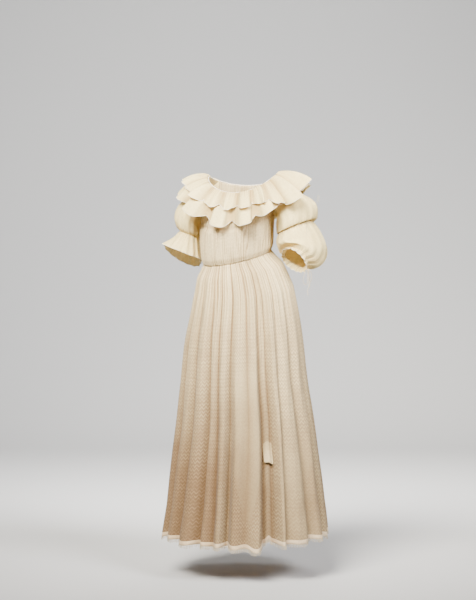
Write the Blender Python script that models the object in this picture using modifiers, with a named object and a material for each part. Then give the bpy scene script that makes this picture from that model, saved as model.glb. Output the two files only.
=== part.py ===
"""Chemise a la reine gown of figured cotton muslin, in the hollow form that it has when it is worn.

The gown stands upright with its front towards -Y and the wearer's left towards +X. The origin is midway
between the two points where it rests on the wearer's shoulders. Units are metres and angles are degrees,
measured round the body from the centre front, positive towards the wearer's left.
"""

import math

import bmesh
import bpy
from mathutils import Matrix, Vector

# Driving sizes of the cloth
WALL = 0.0012
SEAM_GAP = 0.0003
STEP_OUT = 0.008
STEP_DOWN = 0.006

# Neckline: half width, depths and heights of the oval that the neck drawstring draws in
NECK = {"half_width": 0.120, "front": 0.088, "back": 0.080, "shift_x": 0.003}
NECK_Z = {"front": -0.064, "left": -0.001, "right": -0.003, "back": -0.028}

# Waist seam: lowest at the centre front, higher at the back and on the wearer's left
WAIST_Z = {"front": -0.303, "back_rise": 0.059, "left_rise": 0.0186}
HEM_Z = {"front": -1.232, "left": -1.215, "right": -1.212, "back": -1.206}

# Bodice rings from the waist seam (0) to the neckline (1)
BODICE_RINGS = [
    {"at": 0.00, "half_width": 0.1185, "front": 0.099, "back": 0.089, "shift_x": -0.017},
    {"at": 0.07, "half_width": 0.1250, "front": 0.109, "back": 0.094, "shift_x": -0.017},
    {"at": 0.25, "half_width": 0.1275, "front": 0.117, "back": 0.099, "shift_x": -0.017},
    {"at": 0.42, "half_width": 0.1290, "front": 0.122, "back": 0.103, "shift_x": -0.016},
    {"at": 0.50, "half_width": 0.1275, "front": 0.118, "back": 0.102, "shift_x": -0.014},
    {"at": 0.60, "half_width": 0.1285, "front": 0.118, "back": 0.102, "shift_x": -0.010},
    {"at": 0.80, "half_width": 0.1250, "front": 0.103, "back": 0.094, "shift_x": -0.003},
    {"at": 1.00, "half_width": 0.1200, "front": 0.088, "back": 0.080, "shift_x": 0.003},
]
BODICE_GATHERS = 24
BODICE_ROWS = [0.0, 0.07, 0.25, 0.47, 0.60, 0.73, 0.87, 1.0]
GATHER_DEPTH = 0.0052
NECK_GATHER_DEPTH = 0.0016

# Armhole: it starts at the side seam and narrows the panels up to the neckline
ARMHOLE_FOOT = 0.47
ARMHOLE_TURNED = 0.78
SIDE_DEG = 90.0
STRAP_DEG = 56.0

# Skirt rings from the waist seam (0) to the hem (1)
SKIRT_RINGS = [
    {"at": 0.00, "half_width": 0.1180, "front": 0.099, "back": 0.089, "shift_x": -0.017},
    {"at": 0.05, "half_width": 0.1510, "front": 0.127, "back": 0.126, "shift_x": -0.006},
    {"at": 0.13, "half_width": 0.1760, "front": 0.151, "back": 0.158, "shift_x": 0.004},
    {"at": 0.28, "half_width": 0.2030, "front": 0.176, "back": 0.192, "shift_x": 0.003},
    {"at": 0.43, "half_width": 0.2190, "front": 0.193, "back": 0.216, "shift_x": 0.003},
    {"at": 0.58, "half_width": 0.2360, "front": 0.211, "back": 0.238, "shift_x": 0.008},
    {"at": 0.73, "half_width": 0.2550, "front": 0.230, "back": 0.260, "shift_x": 0.010},
    {"at": 0.88, "half_width": 0.2710, "front": 0.247, "back": 0.279, "shift_x": 0.011},
    {"at": 1.00, "half_width": 0.2860, "front": 0.262, "back": 0.294, "shift_x": 0.010},
]
SKIRT_ROWS = [0.0, 0.025, 0.06, 0.12, 0.20, 0.31, 0.43, 0.54, 0.65, 0.76, 0.88, 1.0]
FOLD_STEPS = 4
WAIST_GATHER_DEPTH = 0.0040
WAIST_GATHERS_END = 0.34

# Skirt folds, a row for each trough, from the right side seam round the front and the back. The angles are
# at the waist, at mid height and at the hem. Depth is the trough's at the hem. Crest is how far the fold that
# follows stays in there, and fall is how much lower than the rest its hem hangs.
SKIRT_FOLDS = [
    {"waist": -90, "mid": -90, "hem": -90, "depth": 0.026, "crest": 0.004, "fall": 0.000},
    {"waist": -75, "mid": -73, "hem": -72, "depth": 0.030, "crest": 0.000, "fall": 0.004},
    {"waist": -57, "mid": -56, "hem": -59, "depth": 0.022, "crest": 0.005, "fall": 0.000},
    {"waist": -40, "mid": -37, "hem": -43, "depth": 0.030, "crest": 0.000, "fall": 0.003},
    {"waist": -22, "mid": -17, "hem": -20, "depth": 0.036, "crest": 0.008, "fall": -0.003},
    {"waist": -10, "mid": -8, "hem": -8, "depth": 0.026, "crest": 0.004, "fall": -0.002},
    {"waist": 3, "mid": 3, "hem": 2, "depth": 0.046, "crest": 0.000, "fall": 0.002},
    {"waist": 18, "mid": 20, "hem": 16, "depth": 0.013, "crest": 0.002, "fall": 0.014},
    {"waist": 31, "mid": 32, "hem": 29, "depth": 0.060, "crest": 0.056, "fall": -0.012},
    {"waist": 37, "mid": 37, "hem": 35, "depth": 0.060, "crest": 0.000, "fall": -0.002},
    {"waist": 51, "mid": 51, "hem": 48, "depth": 0.028, "crest": 0.003, "fall": 0.002},
    {"waist": 69, "mid": 69, "hem": 73, "depth": 0.032, "crest": 0.000, "fall": 0.000},
    {"waist": 90, "mid": 90, "hem": 90, "depth": 0.026, "crest": 0.004, "fall": 0.003},
    {"waist": 105, "mid": 106, "hem": 107, "depth": 0.036, "crest": 0.000, "fall": 0.000},
    {"waist": 119, "mid": 121, "hem": 122, "depth": 0.026, "crest": 0.006, "fall": -0.002},
    {"waist": 134, "mid": 135, "hem": 135, "depth": 0.044, "crest": 0.000, "fall": 0.005},
    {"waist": 149, "mid": 148, "hem": 151, "depth": 0.028, "crest": 0.003, "fall": 0.000},
    {"waist": 163, "mid": 165, "hem": 164, "depth": 0.040, "crest": 0.000, "fall": 0.004},
    {"waist": 178, "mid": 179, "hem": 181, "depth": 0.050, "crest": 0.005, "fall": -0.003},
    {"waist": 193, "mid": 192, "hem": 193, "depth": 0.030, "crest": 0.000, "fall": 0.002},
    {"waist": 208, "mid": 209, "hem": 210, "depth": 0.042, "crest": 0.004, "fall": 0.000},
    {"waist": 224, "mid": 223, "hem": 223, "depth": 0.026, "crest": 0.000, "fall": 0.005},
    {"waist": 239, "mid": 240, "hem": 241, "depth": 0.038, "crest": 0.003, "fall": -0.002},
    {"waist": 255, "mid": 255, "hem": 254, "depth": 0.030, "crest": 0.000, "fall": 0.002},
]
FOLD_GROWTH = 0.72
TROUGH_LIFT = 0.15
SIDE_FOLDS = 12

# Neck ruffles. Tilts are of the cloth as it leaves the neckline, down from level, at the front, side and back.
LOWER_RUFFLE = {
    "waves": 13,
    "rows": [0.0, 0.22, 0.48, 0.74, 1.0],
    "length": {"front": 0.128, "left": 0.108, "right": 0.115, "back": 0.132},
    "tilt": {"front": 64.0, "left": 4.0, "right": 8.0, "back": 60.0},
    "bend": {"front": 0.560, "left": 0.130, "right": 0.130, "back": 0.460},
    "wave": {"front": 0.044, "left": 0.028, "right": 0.026, "back": 0.038},
    "scallop": {"front": 0.018, "left": 0.000, "right": 0.006, "back": 0.012},
    "turn": -1.0,
    "uneven": 3.0,
}
UPPER_RUFFLE = {
    "waves": 19,
    "rows": [0.0, 0.30, 0.65, 1.0],
    "length": {"front": 0.068, "left": 0.094, "right": 0.084, "back": 0.070},
    "wave": {"front": 0.028, "left": 0.052, "right": 0.034, "back": 0.028},
    "scallop": {"front": 0.010, "left": 0.000, "right": 0.004, "back": 0.008},
    "stand_off": 0.0022,
    "turn": 4.0,
    "uneven": 3.2,
}
RUFFLE_STEPS = 6
NECK_STAND_UP = {"front": 0.0004, "left": 0.0024, "right": 0.0024, "back": 0.0004}
NECK_STAND_OUT = {"front": 0.0016, "left": 0.0006, "right": 0.0006, "back": 0.0016}

# Sleeves, a row for each section down the arm past the armhole seam: its points next to the body, on the
# outside of the arm, in front and behind, and how deep its gathers are
LEFT_SLEEVE = [
    {"inner": (0.131, 0.004, -0.148), "outer": (0.198, 0.004, -0.054), "front": (0.160, -0.062, -0.094),
     "back": (0.160, 0.068, -0.096), "gather": 0.4},
    {"inner": (0.129, 0.005, -0.165), "outer": (0.244, 0.006, -0.082), "front": (0.180, -0.073, -0.120),
     "back": (0.182, 0.080, -0.120), "gather": 0.5},
    {"inner": (0.128, 0.005, -0.179), "outer": (0.262, 0.006, -0.110), "front": (0.190, -0.076, -0.145),
     "back": (0.192, 0.084, -0.145), "gather": 0.5},
    {"inner": (0.129, 0.005, -0.190), "outer": (0.255, 0.006, -0.138), "front": (0.190, -0.070, -0.166),
     "back": (0.192, 0.078, -0.165), "gather": 0.8},
    {"inner": (0.134, 0.005, -0.196), "outer": (0.236, 0.006, -0.149), "front": (0.187, -0.056, -0.174),
     "back": (0.188, 0.064, -0.173), "gather": 1.1},
    {"inner": (0.130, 0.005, -0.205), "outer": (0.252, 0.010, -0.164), "front": (0.190, -0.065, -0.184),
     "back": (0.194, 0.073, -0.186), "gather": 0.8},
    {"inner": (0.128, 0.004, -0.225), "outer": (0.276, 0.020, -0.204), "front": (0.196, -0.074, -0.205),
     "back": (0.206, 0.083, -0.222), "gather": 0.5},
    {"inner": (0.129, -0.002, -0.246), "outer": (0.290, 0.024, -0.248), "front": (0.201, -0.077, -0.222),
     "back": (0.218, 0.082, -0.258), "gather": 0.5},
    {"inner": (0.137, -0.010, -0.262), "outer": (0.284, 0.016, -0.284), "front": (0.214, -0.083, -0.232),
     "back": (0.214, 0.064, -0.291), "gather": 0.6},
    {"inner": (0.150, -0.019, -0.267), "outer": (0.267, -0.010, -0.306), "front": (0.227, -0.077, -0.240),
     "back": (0.204, 0.040, -0.308), "gather": 0.8},
    {"inner": (0.1565, -0.0275, -0.264), "outer": (0.243, -0.035, -0.309), "front": (0.220, -0.073, -0.251),
     "back": (0.186, 0.008, -0.307), "gather": 0.8},
    {"inner": (0.1515, -0.0375, -0.2650), "outer": (0.240, -0.0455, -0.319), "front": (0.2130, -0.083, -0.2585),
     "back": (0.174, 0.001, -0.317), "gather": 1.2},
]
RIGHT_SLEEVE = [
    {"inner": (-0.153, 0.004, -0.168), "outer": (-0.188, 0.004, -0.060), "front": (-0.166, -0.061, -0.108),
     "back": (-0.166, 0.066, -0.108), "gather": 0.4},
    {"inner": (-0.152, 0.005, -0.182), "outer": (-0.226, 0.006, -0.096), "front": (-0.182, -0.068, -0.134),
     "back": (-0.184, 0.074, -0.134), "gather": 0.5},
    {"inner": (-0.151, 0.006, -0.192), "outer": (-0.242, 0.008, -0.134), "front": (-0.190, -0.067, -0.160),
     "back": (-0.192, 0.074, -0.161), "gather": 0.6},
    {"inner": (-0.153, 0.006, -0.201), "outer": (-0.237, 0.010, -0.168), "front": (-0.190, -0.059, -0.181),
     "back": (-0.192, 0.067, -0.183), "gather": 0.8},
    {"inner": (-0.157, 0.006, -0.208), "outer": (-0.226, 0.010, -0.183), "front": (-0.190, -0.048, -0.193),
     "back": (-0.192, 0.056, -0.195), "gather": 1.0},
    {"inner": (-0.153, 0.006, -0.221), "outer": (-0.238, 0.010, -0.199), "front": (-0.194, -0.054, -0.208),
     "back": (-0.200, 0.062, -0.214), "gather": 0.8},
    {"inner": (-0.151, 0.006, -0.248), "outer": (-0.262, 0.006, -0.215), "front": (-0.200, -0.062, -0.230),
     "back": (-0.212, 0.066, -0.250), "gather": 0.9},
    {"inner": (-0.151, 0.006, -0.280), "outer": (-0.288, 0.004, -0.228), "front": (-0.208, -0.068, -0.252),
     "back": (-0.224, 0.068, -0.296), "gather": 1.4},
]
SLEEVE_COLUMNS = {"edge": 3, "top": 8}
SLEEVE_GATHERS = 16
SLEEVE_GATHER_DEPTH = 0.0026

# Hem fringe: a strip under the hem and the strands that hang from it
FRINGE = {"strip": 0.004, "strand": 0.008, "taper": 0.35, "per_fold": 7, "gap": 0.0018}

# Plain tab that lies in the deep front fold
TAB = {"first": 32, "last": 36, "steps": 1, "top": 0.655, "bottom": 0.725, "rows": 4, "round": 0.010, "lift": 0.0028}

# Tie of the left cuff: a knot under the cuff, two loops and two free ends. Their routes run across, out and
# up from the knot's middle, in a plane that is turned round the upright.
CORD = 0.0018
TIE_TURN = 18.0
KNOT = {"place": (0.2461, -0.0435, -0.3222), "radii": (0.0042, 0.0036, 0.0040)}
LOOP_FRONT = [
    (-0.0090, 0.0010, -0.0080), (-0.0150, 0.0018, -0.0180), (-0.0180, 0.0024, -0.0310), (-0.0160, 0.0028, -0.0420),
    (-0.0100, 0.0032, -0.0485), (-0.0045, 0.0036, -0.0460), (-0.0024, 0.0040, -0.0340), (-0.0022, 0.0040, -0.0180),
    (-0.0020, 0.0036, -0.0080),
]
LOOP_BACK = [
    (0.0082, -0.0006, -0.0052), (0.0098, -0.0012, -0.0140), (0.0112, -0.0020, -0.0250), (0.0098, -0.0030, -0.0350),
    (0.0060, -0.0036, -0.0380), (0.0028, -0.0040, -0.0310), (0.0024, -0.0040, -0.0180), (0.0024, -0.0038, -0.0080),
]
END_LONG = [
    (0.0004, 0.0076, -0.0020), (0.0010, 0.0084, -0.0120), (0.0016, 0.0080, -0.0300), (0.0020, 0.0076, -0.0470),
    (0.0010, 0.0072, -0.0580), (-0.0035, 0.0070, -0.0680), (-0.0022, 0.0068, -0.0770), (-0.0010, 0.0068, -0.0850),
]
END_SHORT = [
    (0.0004, -0.0076, -0.0020), (0.0014, -0.0084, -0.0120), (0.0045, -0.0080, -0.0270), (0.0060, -0.0078, -0.0400),
    (0.0045, -0.0076, -0.0550),
]
CORD_STEP = 0.0055
KNOT_CLEARANCE = 0.0004

# Colours of the cloths
MUSLIN = {"colour": (0.80, 0.72, 0.58, 1.0), "roughness": 0.85}
SHEER = {"colour": (0.86, 0.80, 0.68, 1.0), "roughness": 0.80}
THREAD = {"colour": (0.88, 0.84, 0.76, 1.0), "roughness": 0.90}


def mix(first, second, share):
    """A number or vector between two others."""
    return first + (second - first) * share


def ease(share):
    """Share from 0 to 1 with a soft start and end."""
    share = min(1.0, max(0.0, share))
    return share * share * (3.0 - 2.0 * share)


def curve_through(values, at):
    """Point at a place from 0 to len(values) - 1 on the smooth curve through the values."""
    last = len(values) - 1
    low = min(last - 1, max(0, math.floor(at)))
    f = at - low
    p0, p1, p2, p3 = (values[min(last, max(0, low + k))] for k in (-1, 0, 1, 2))
    bend = p0 * 2.0 - p1 * 5.0 + p2 * 4.0 - p3
    turn = (p1 - p2) * 3.0 + p3 - p0
    return p1 + ((p2 - p0) + (bend + turn * f) * f) * (0.5 * f)


def row_place(rows, at):
    """Place of a height between 0 and 1 among rows that hold theirs as "at"."""
    for index in range(len(rows) - 1):
        low, high = rows[index]["at"], rows[index + 1]["at"]
        if at <= high or index == len(rows) - 2:
            return index + (at - low) / (high - low)
    return 0.0


def column(rows, name, at):
    """Value of one named column at a height, smoothly between the rows."""
    return curve_through([row[name] for row in rows], row_place(rows, at))


def round_body(sizes, degrees):
    """Value at an angle from those at the front, back and sides."""
    facing = math.cos(math.radians(degrees))
    leftward = math.sin(math.radians(degrees)) > 0.0
    toward = sizes["front"] if facing > 0.0 else sizes["back"]
    return mix(sizes["left"] if leftward else sizes["right"], toward, abs(facing) ** 1.5)


def oval(size, degrees):
    """Plan point on an oval with unlike front and back depths."""
    angle = math.radians(degrees)
    depth = size["front"] if math.cos(angle) > 0 else size["back"]
    return Vector((size["shift_x"] + size["half_width"] * math.sin(angle), -depth * math.cos(angle), 0.0))


def ring_size(rows, at):
    """Oval of a ring table at a height."""
    return {name: column(rows, name, at) for name in ("half_width", "front", "back", "shift_x")}


def outward(degrees):
    """Level direction away from the body at an angle."""
    angle = math.radians(degrees)
    return Vector((math.sin(angle), -math.cos(angle), 0.0))


def waist_height(degrees):
    """Height of the waist seam at an angle."""
    angle = math.radians(degrees)
    rise = WAIST_Z["back_rise"] * (1.0 - math.cos(angle)) / 2.0
    return WAIST_Z["front"] + rise + WAIST_Z["left_rise"] * math.sin(angle)


def bodice_base(degrees, at):
    """Point of the bodice before it is gathered, from the waist seam to the neckline."""
    place = oval(ring_size(BODICE_RINGS, at), degrees)
    place.z = mix(waist_height(degrees), round_body(NECK_Z, degrees), at)
    return place


def panel_edge(at):
    """Angle from the centre line to the edge of a bodice panel at a height."""
    turned = ease((at - ARMHOLE_FOOT) / (ARMHOLE_TURNED - ARMHOLE_FOOT))
    return mix(SIDE_DEG, STRAP_DEG, turned)


def bodice_point(middle, across, at):
    """Point of a gathered bodice panel. Across runs from -1 to 1, and middle is the panel's own angle."""
    degrees = middle + across * panel_edge(at)
    depth = mix(GATHER_DEPTH, NECK_GATHER_DEPTH, ease((at - 0.6) / 0.4))
    wave = math.cos((across + 1.0) * math.pi * BODICE_GATHERS)
    uneven = 1.0 + 0.3 * math.sin(across * 17.0 + middle) * (1.0 - across ** 4)
    return bodice_base(degrees, at) - outward(degrees) * (depth * uneven * 0.5 * (1.0 + wave))


def fold_row(index):
    """Row of the fold table at any whole number, with the turns of 360 degrees that go with it."""
    count = len(SKIRT_FOLDS)
    return SKIRT_FOLDS[index % count], 360.0 * (index // count)


def fold_angle(index, at):
    """Angle of a trough at a height, on a smooth line through its three angles."""
    row, turns = fold_row(index)
    angles = [float(row["waist"]), float(row["mid"]), float(row["hem"])]
    return turns + curve_through(angles, 2.0 * at)


def skirt_point(phase, at):
    """Point of the skirt. Phase is a whole number in each trough, and at runs from the waist seam to the hem."""
    index = math.floor(phase)
    f = phase - index
    row, after = fold_row(index)[0], fold_row(index + 1)[0]
    degrees = mix(fold_angle(index, at), fold_angle(index + 1, at), f)
    in_trough = math.cos(math.pi * f) ** 2
    deep = mix(row["depth"], after["depth"], ease(f)) * in_trough + row["crest"] * (1.0 - in_trough)
    grown = 0.02 + 0.98 * at ** FOLD_GROWTH
    fade = 1.0 - ease(at / WAIST_GATHERS_END)
    gather = WAIST_GATHER_DEPTH * fade * 0.5 * (1.0 + math.cos(FOLD_STEPS * math.pi * f))
    place = oval(ring_size(SKIRT_RINGS, at), degrees)
    hem = round_body(HEM_Z, degrees) + deep * TROUGH_LIFT - row["fall"] * (1.0 - in_trough)
    place.z = mix(waist_height(degrees) - 2.0 * SEAM_GAP, hem, at)
    return place - outward(degrees) * (deep * grown + gather)


def panel_point(column, at):
    """Point on the flat facets of the skirt panel between its columns and rows."""
    row = next(k for k in range(1, len(SKIRT_ROWS)) if at <= SKIRT_ROWS[k])
    low, high = SKIRT_ROWS[row - 1], SKIRT_ROWS[row]
    left = math.floor(column)
    edges = [
        mix(skirt_point(k / FOLD_STEPS, low), skirt_point(k / FOLD_STEPS, high), (at - low) / (high - low))
        for k in (left, left + 1)
    ]
    return mix(edges[0], edges[1], column - left)


def wave_angle(ruffle, wave):
    """Angle of a ruffle's wave, unevenly spaced. Whole numbers are troughs."""
    even = 360.0 * wave / ruffle["waves"]
    return ruffle["turn"] + even + ruffle["uneven"] * math.sin(math.radians(3.0 * even + 40.0))


def wave_at(ruffle, degrees):
    """Wave of a ruffle at an angle, the reverse of wave_angle."""
    wave = ruffle["waves"] * (degrees - ruffle["turn"]) / 360.0
    for _ in range(12):
        wave += ruffle["waves"] * (degrees - wave_angle(ruffle, wave)) / 360.0
    return wave


def wave_share(wave):
    """Share from 0 in a ruffle's trough to 1 at its ridge, with ridges of unlike heights."""
    return (0.5 - 0.5 * math.cos(2.0 * math.pi * wave)) * (1.0 + 0.25 * math.sin(2.4 * math.floor(wave)))


def lower_ruffle_point(wave, down):
    """Point of the lower ruffle. Down runs from the neckline to the free edge."""
    ruffle = LOWER_RUFFLE
    degrees = wave_angle(ruffle, wave)
    tilt = math.radians(round_body(ruffle["tilt"], degrees))
    bend = round_body(ruffle["bend"], degrees)
    end = tilt + round_body(ruffle["length"], degrees) * down / bend
    out = bend * (math.sin(end) - math.sin(tilt))
    fall = bend * (math.cos(tilt) - math.cos(end))
    ridge = wave_share(wave)
    lift = round_body(ruffle["wave"], degrees) * down ** 0.8 * ridge
    hang = round_body(ruffle["scallop"], degrees) * down ** 1.5 * ridge
    root = oval(NECK, degrees)
    root.z = round_body(NECK_Z, degrees) + round_body(NECK_STAND_UP, degrees)
    away = out + lift * math.sin(end) + round_body(NECK_STAND_OUT, degrees)
    return root + outward(degrees) * away + Vector((0.0, 0.0, lift * math.cos(end) - fall - hang))


def upper_ruffle_point(lower_wave, down):
    """Point of the upper ruffle, made from the lower ruffle's points moved out and up."""
    ruffle = UPPER_RUFFLE
    degrees = wave_angle(LOWER_RUFFLE, lower_wave)
    ridge = wave_share(wave_at(ruffle, degrees))
    share = round_body(ruffle["length"], degrees) / round_body(LOWER_RUFFLE["length"], degrees) * down
    below = lower_ruffle_point(lower_wave, share)
    slope = math.radians(round_body(LOWER_RUFFLE["tilt"], degrees))
    slope += round_body(ruffle["length"], degrees) * down / round_body(LOWER_RUFFLE["bend"], degrees)
    lift = ruffle["stand_off"] * (1.0 + down) + round_body(ruffle["wave"], degrees) * down ** 0.8 * ridge
    hang = round_body(ruffle["scallop"], degrees) * down ** 1.5 * ridge
    return below + outward(degrees) * (lift * math.sin(slope)) + Vector((0, 0, lift * math.cos(slope) - hang))


def armhole_edge(side, middle):
    """Points up the straight pieces of a bodice panel's armhole edge, from the underarm to the neckline."""
    rows = [at for at in BODICE_ROWS if at >= ARMHOLE_FOOT]
    corners = [bodice_point(middle, side, at) for at in rows]
    steps = SLEEVE_COLUMNS["edge"]
    points = [mix(low, high, k / steps) for low, high in zip(corners, corners[1:]) for k in range(steps)]
    return points + corners[-1:]


def armhole_loop(side):
    """Points of the armhole seam, from the underarm up the front, over the shoulder and down the back."""
    front = armhole_edge(side, 0.0)
    back = armhole_edge(-side, 180.0)
    top = []
    for k in range(1, SLEEVE_COLUMNS["top"]):
        degrees = mix(STRAP_DEG, 180.0 - STRAP_DEG, k / SLEEVE_COLUMNS["top"])
        top.append(bodice_base(side * degrees, 1.0))
    return front + top + back[:0:-1]


def section_loop(section, count):
    """Points of one sleeve section, in the same order as the armhole's."""
    inner, outer, front, back = (Vector(section[name]) for name in ("inner", "outer", "front", "back"))
    centre = (inner + outer) / 2.0
    points = []
    for k in range(count):
        angle = 2.0 * math.pi * k / count
        toward = front - centre if math.sin(angle) > 0.0 else centre - back
        arm = (inner - centre) * math.cos(angle) + toward * math.sin(angle)
        gather = SLEEVE_GATHER_DEPTH * section["gather"] * math.cos(SLEEVE_GATHERS * angle)
        points.append(centre + arm + arm.normalized() * gather)
    return points


def sleeve_rings(side, sections):
    """All rings of a sleeve: two at the armhole seam, then its sections."""
    seam = armhole_loop(side)
    first = [point + Vector((side * 2.0 * SEAM_GAP, 0.0, 0.0)) for point in seam]
    low = min(point.z for point in first)
    high = max(point.z for point in first)
    second = []
    for point in first:
        drop = STEP_DOWN * ease((point.z - low) / (high - low))
        second.append(point + Vector((side * STEP_OUT, 0.0, -drop)))
    return [first, second] + [section_loop(section, len(seam)) for section in sections]


def principled(name, finish):
    """Plain cloth material."""
    material = bpy.data.materials.new(name)
    material.use_nodes = True
    shader = material.node_tree.nodes["Principled BSDF"]
    shader.inputs["Base Color"].default_value = finish["colour"]
    shader.inputs["Roughness"].default_value = finish["roughness"]
    shader.inputs["Metallic"].default_value = 0.0
    return material


def clear_scene():
    """Empties the scene."""
    for obj in list(bpy.data.objects):
        bpy.data.objects.remove(obj, do_unlink=True)


def add_object(name, data, material, collection):
    """New object in the gown's collection."""
    obj = bpy.data.objects.new(name, data)
    obj.data.materials.append(material)
    collection.objects.link(obj)
    return obj


def placed_grid(columns, rows, place, closed):
    """Grid of cloth whose corners are put in place by a function of column and row."""
    sheet = bmesh.new()
    bmesh.ops.create_grid(sheet, x_segments=columns, y_segments=rows, size=1.0)
    for corner in sheet.verts:
        i = round((corner.co.x + 1.0) / 2.0 * columns)
        j = round((corner.co.y + 1.0) / 2.0 * rows)
        corner.co = place(i % columns if closed else i, j)
    if closed:
        bmesh.ops.remove_doubles(sheet, verts=sheet.verts, dist=0.00001)
    return sheet


def face_outwards(sheet, axis_of):
    """Turns the faces if they look towards the inside that axis_of gives for a point."""
    sheet.normal_update()
    facing = sum(
        face.normal.dot(face.calc_center_median() - axis_of(face.calc_center_median())) for face in sheet.faces
    )
    if facing < 0.0:
        bmesh.ops.reverse_faces(sheet, faces=sheet.faces)


def cloth(name, sheet, material, collection):
    """Cloth object: the open sheet is its outside, and Solidify gives the wall inwards."""
    mesh = bpy.data.meshes.new(name)
    sheet.to_mesh(mesh)
    sheet.free()
    mesh.shade_smooth()
    obj = add_object(name, mesh, material, collection)
    wall = obj.modifiers.new("wall", "SOLIDIFY")
    wall.thickness = WALL
    wall.offset = -1.0
    wall.use_even_offset = True
    wall.use_quality_normals = True
    return obj


def body_axis(point):
    """Middle of the body at a point's height."""
    return Vector((0.0, 0.0, point.z))


def add_bodice(name, middle, material, collection):
    """Front or back bodice panel."""
    columns = BODICE_GATHERS * 2
    rows = len(BODICE_ROWS) - 1

    def place(i, j):
        return bodice_point(middle, 2.0 * i / columns - 1.0, BODICE_ROWS[j])

    sheet = placed_grid(columns, rows, place, False)
    face_outwards(sheet, body_axis)
    trim_side_seams(sheet)
    cloth(name, sheet, material, collection)


def trim_side_seams(sheet):
    """Opens the seam gap along the panel's side edges."""
    for corner in sheet.verts:
        if corner.is_boundary and abs(corner.co.y) < SEAM_GAP:
            corner.co.y = math.copysign(SEAM_GAP, sheet_side(sheet))


def sheet_side(sheet):
    """Side of the seam that a panel lies on: -1 for the front and 1 for the back."""
    return sum(corner.co.y for corner in sheet.verts)


def add_skirt(name, first_fold, material, collection):
    """Front or back skirt panel, from one side seam to the other."""
    columns = SIDE_FOLDS * FOLD_STEPS
    rows = len(SKIRT_ROWS) - 1

    def place(i, j):
        return skirt_point(first_fold + i / FOLD_STEPS, SKIRT_ROWS[j])

    sheet = placed_grid(columns, rows, place, False)
    face_outwards(sheet, body_axis)
    trim_side_seams(sheet)
    cloth(name, sheet, material, collection)


def add_ruffle(name, rows, point, material, collection):
    """One tier of the neck ruffle, a ring round the neckline."""
    columns = LOWER_RUFFLE["waves"] * RUFFLE_STEPS

    def place(i, j):
        return point(i / RUFFLE_STEPS, rows[j])

    def inside(spot):
        return Vector((spot.x * 0.5, spot.y * 0.5, spot.z - 0.2))

    sheet = placed_grid(columns, len(rows) - 1, place, True)
    face_outwards(sheet, inside)
    cloth(name, sheet, material, collection)


def add_sleeve(name, side, sections, material, collection):
    """Sleeve from the armhole seam to the cuff."""
    rings = sleeve_rings(side, sections)
    centres = [sum(ring, Vector()) / len(ring) for ring in rings]

    def place(i, j):
        return rings[j][i]

    def inside(point):
        return min(centres, key=lambda centre: (centre - point).length)

    sheet = placed_grid(len(rings[0]), len(rings) - 1, place, True)
    face_outwards(sheet, inside)
    cloth(name, sheet, material, collection)


def add_fringe(name, first_fold, material, collection):
    """Fringe under one skirt panel: a strip along the hem and the strands fused to its lower edge."""
    columns = SIDE_FOLDS * FRINGE["per_fold"]

    def place(i, j):
        drop = FRINGE["gap"] + FRINGE["strip"] * j
        column = (first_fold + i / FRINGE["per_fold"]) * FOLD_STEPS
        return panel_point(column, 1.0) - Vector((0.0, 0.0, drop))

    sheet = placed_grid(columns, 1, place, False)
    face_outwards(sheet, body_axis)
    trim_side_seams(sheet)
    obj = cloth(name, sheet, material, collection)
    graph = bpy.context.evaluated_depsgraph_get()
    solid = bpy.data.meshes.new_from_object(obj.evaluated_get(graph))
    obj.modifiers.clear()
    obj.data = solid
    hang_strands(solid)


def hang_strands(mesh):
    """Draws each face under the strip down into a tapered strand."""
    strip = bmesh.new()
    strip.from_mesh(mesh)
    strip.normal_update()
    under = [face for face in strip.faces if face.normal.z < -0.8]
    drawn = bmesh.ops.extrude_discrete_faces(strip, faces=under)["faces"]
    for face in drawn:
        middle = face.calc_center_median()
        bmesh.ops.scale(
            strip, vec=(FRINGE["taper"],) * 3, space=matrix_to(middle), verts=face.verts
        )
        bmesh.ops.translate(strip, vec=(0.0, 0.0, -FRINGE["strand"]), verts=face.verts)
    strip.to_mesh(mesh)
    strip.free()


def matrix_to(middle):
    """Matrix that carries a point to the origin."""
    return Matrix.Translation(-middle)


def add_tab(name, material, collection):
    """Plain tab that lies on the skirt in its deep front fold, made from the panel's points moved out."""
    columns = (TAB["last"] - TAB["first"]) * TAB["steps"]

    def surface(i, j):
        across = i / columns
        round_off = TAB["round"] * (1.0 - across) ** 2 * ease((j / TAB["rows"] - 0.5) / 0.5)
        at = mix(TAB["top"], TAB["bottom"], j / TAB["rows"]) - round_off
        return panel_point(TAB["first"] + i / TAB["steps"], at)

    def place(i, j):
        along = surface(i + 0.5, j) - surface(i - 0.5, j)
        drop = surface(i, j + 0.5) - surface(i, j - 0.5)
        return surface(i, j) + drop.cross(along).normalized() * (WALL + TAB["lift"])

    sheet = placed_grid(columns, TAB["rows"], place, False)
    face_outwards(sheet, body_axis)
    cloth(name, sheet, material, collection)


def add_knot(name, material, collection):
    """Small knot that ties the left cuff."""
    ball = bmesh.new()
    bmesh.ops.create_uvsphere(ball, u_segments=10, v_segments=6, radius=1.0)
    bmesh.ops.scale(ball, vec=KNOT["radii"], verts=ball.verts)
    bmesh.ops.translate(ball, vec=KNOT["place"], verts=ball.verts)
    mesh = bpy.data.meshes.new(name)
    ball.to_mesh(mesh)
    ball.free()
    add_object(name, mesh, material, collection)


def tie_place(offset):
    """Place of a point of the tie that is given across, out and up from the knot."""
    turn = math.radians(TIE_TURN)
    across = Vector((math.cos(turn), math.sin(turn), 0.0))
    return Vector(KNOT["place"]) + across * offset[0] + outward(TIE_TURN) * offset[1] + Vector((0, 0, offset[2]))


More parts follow.
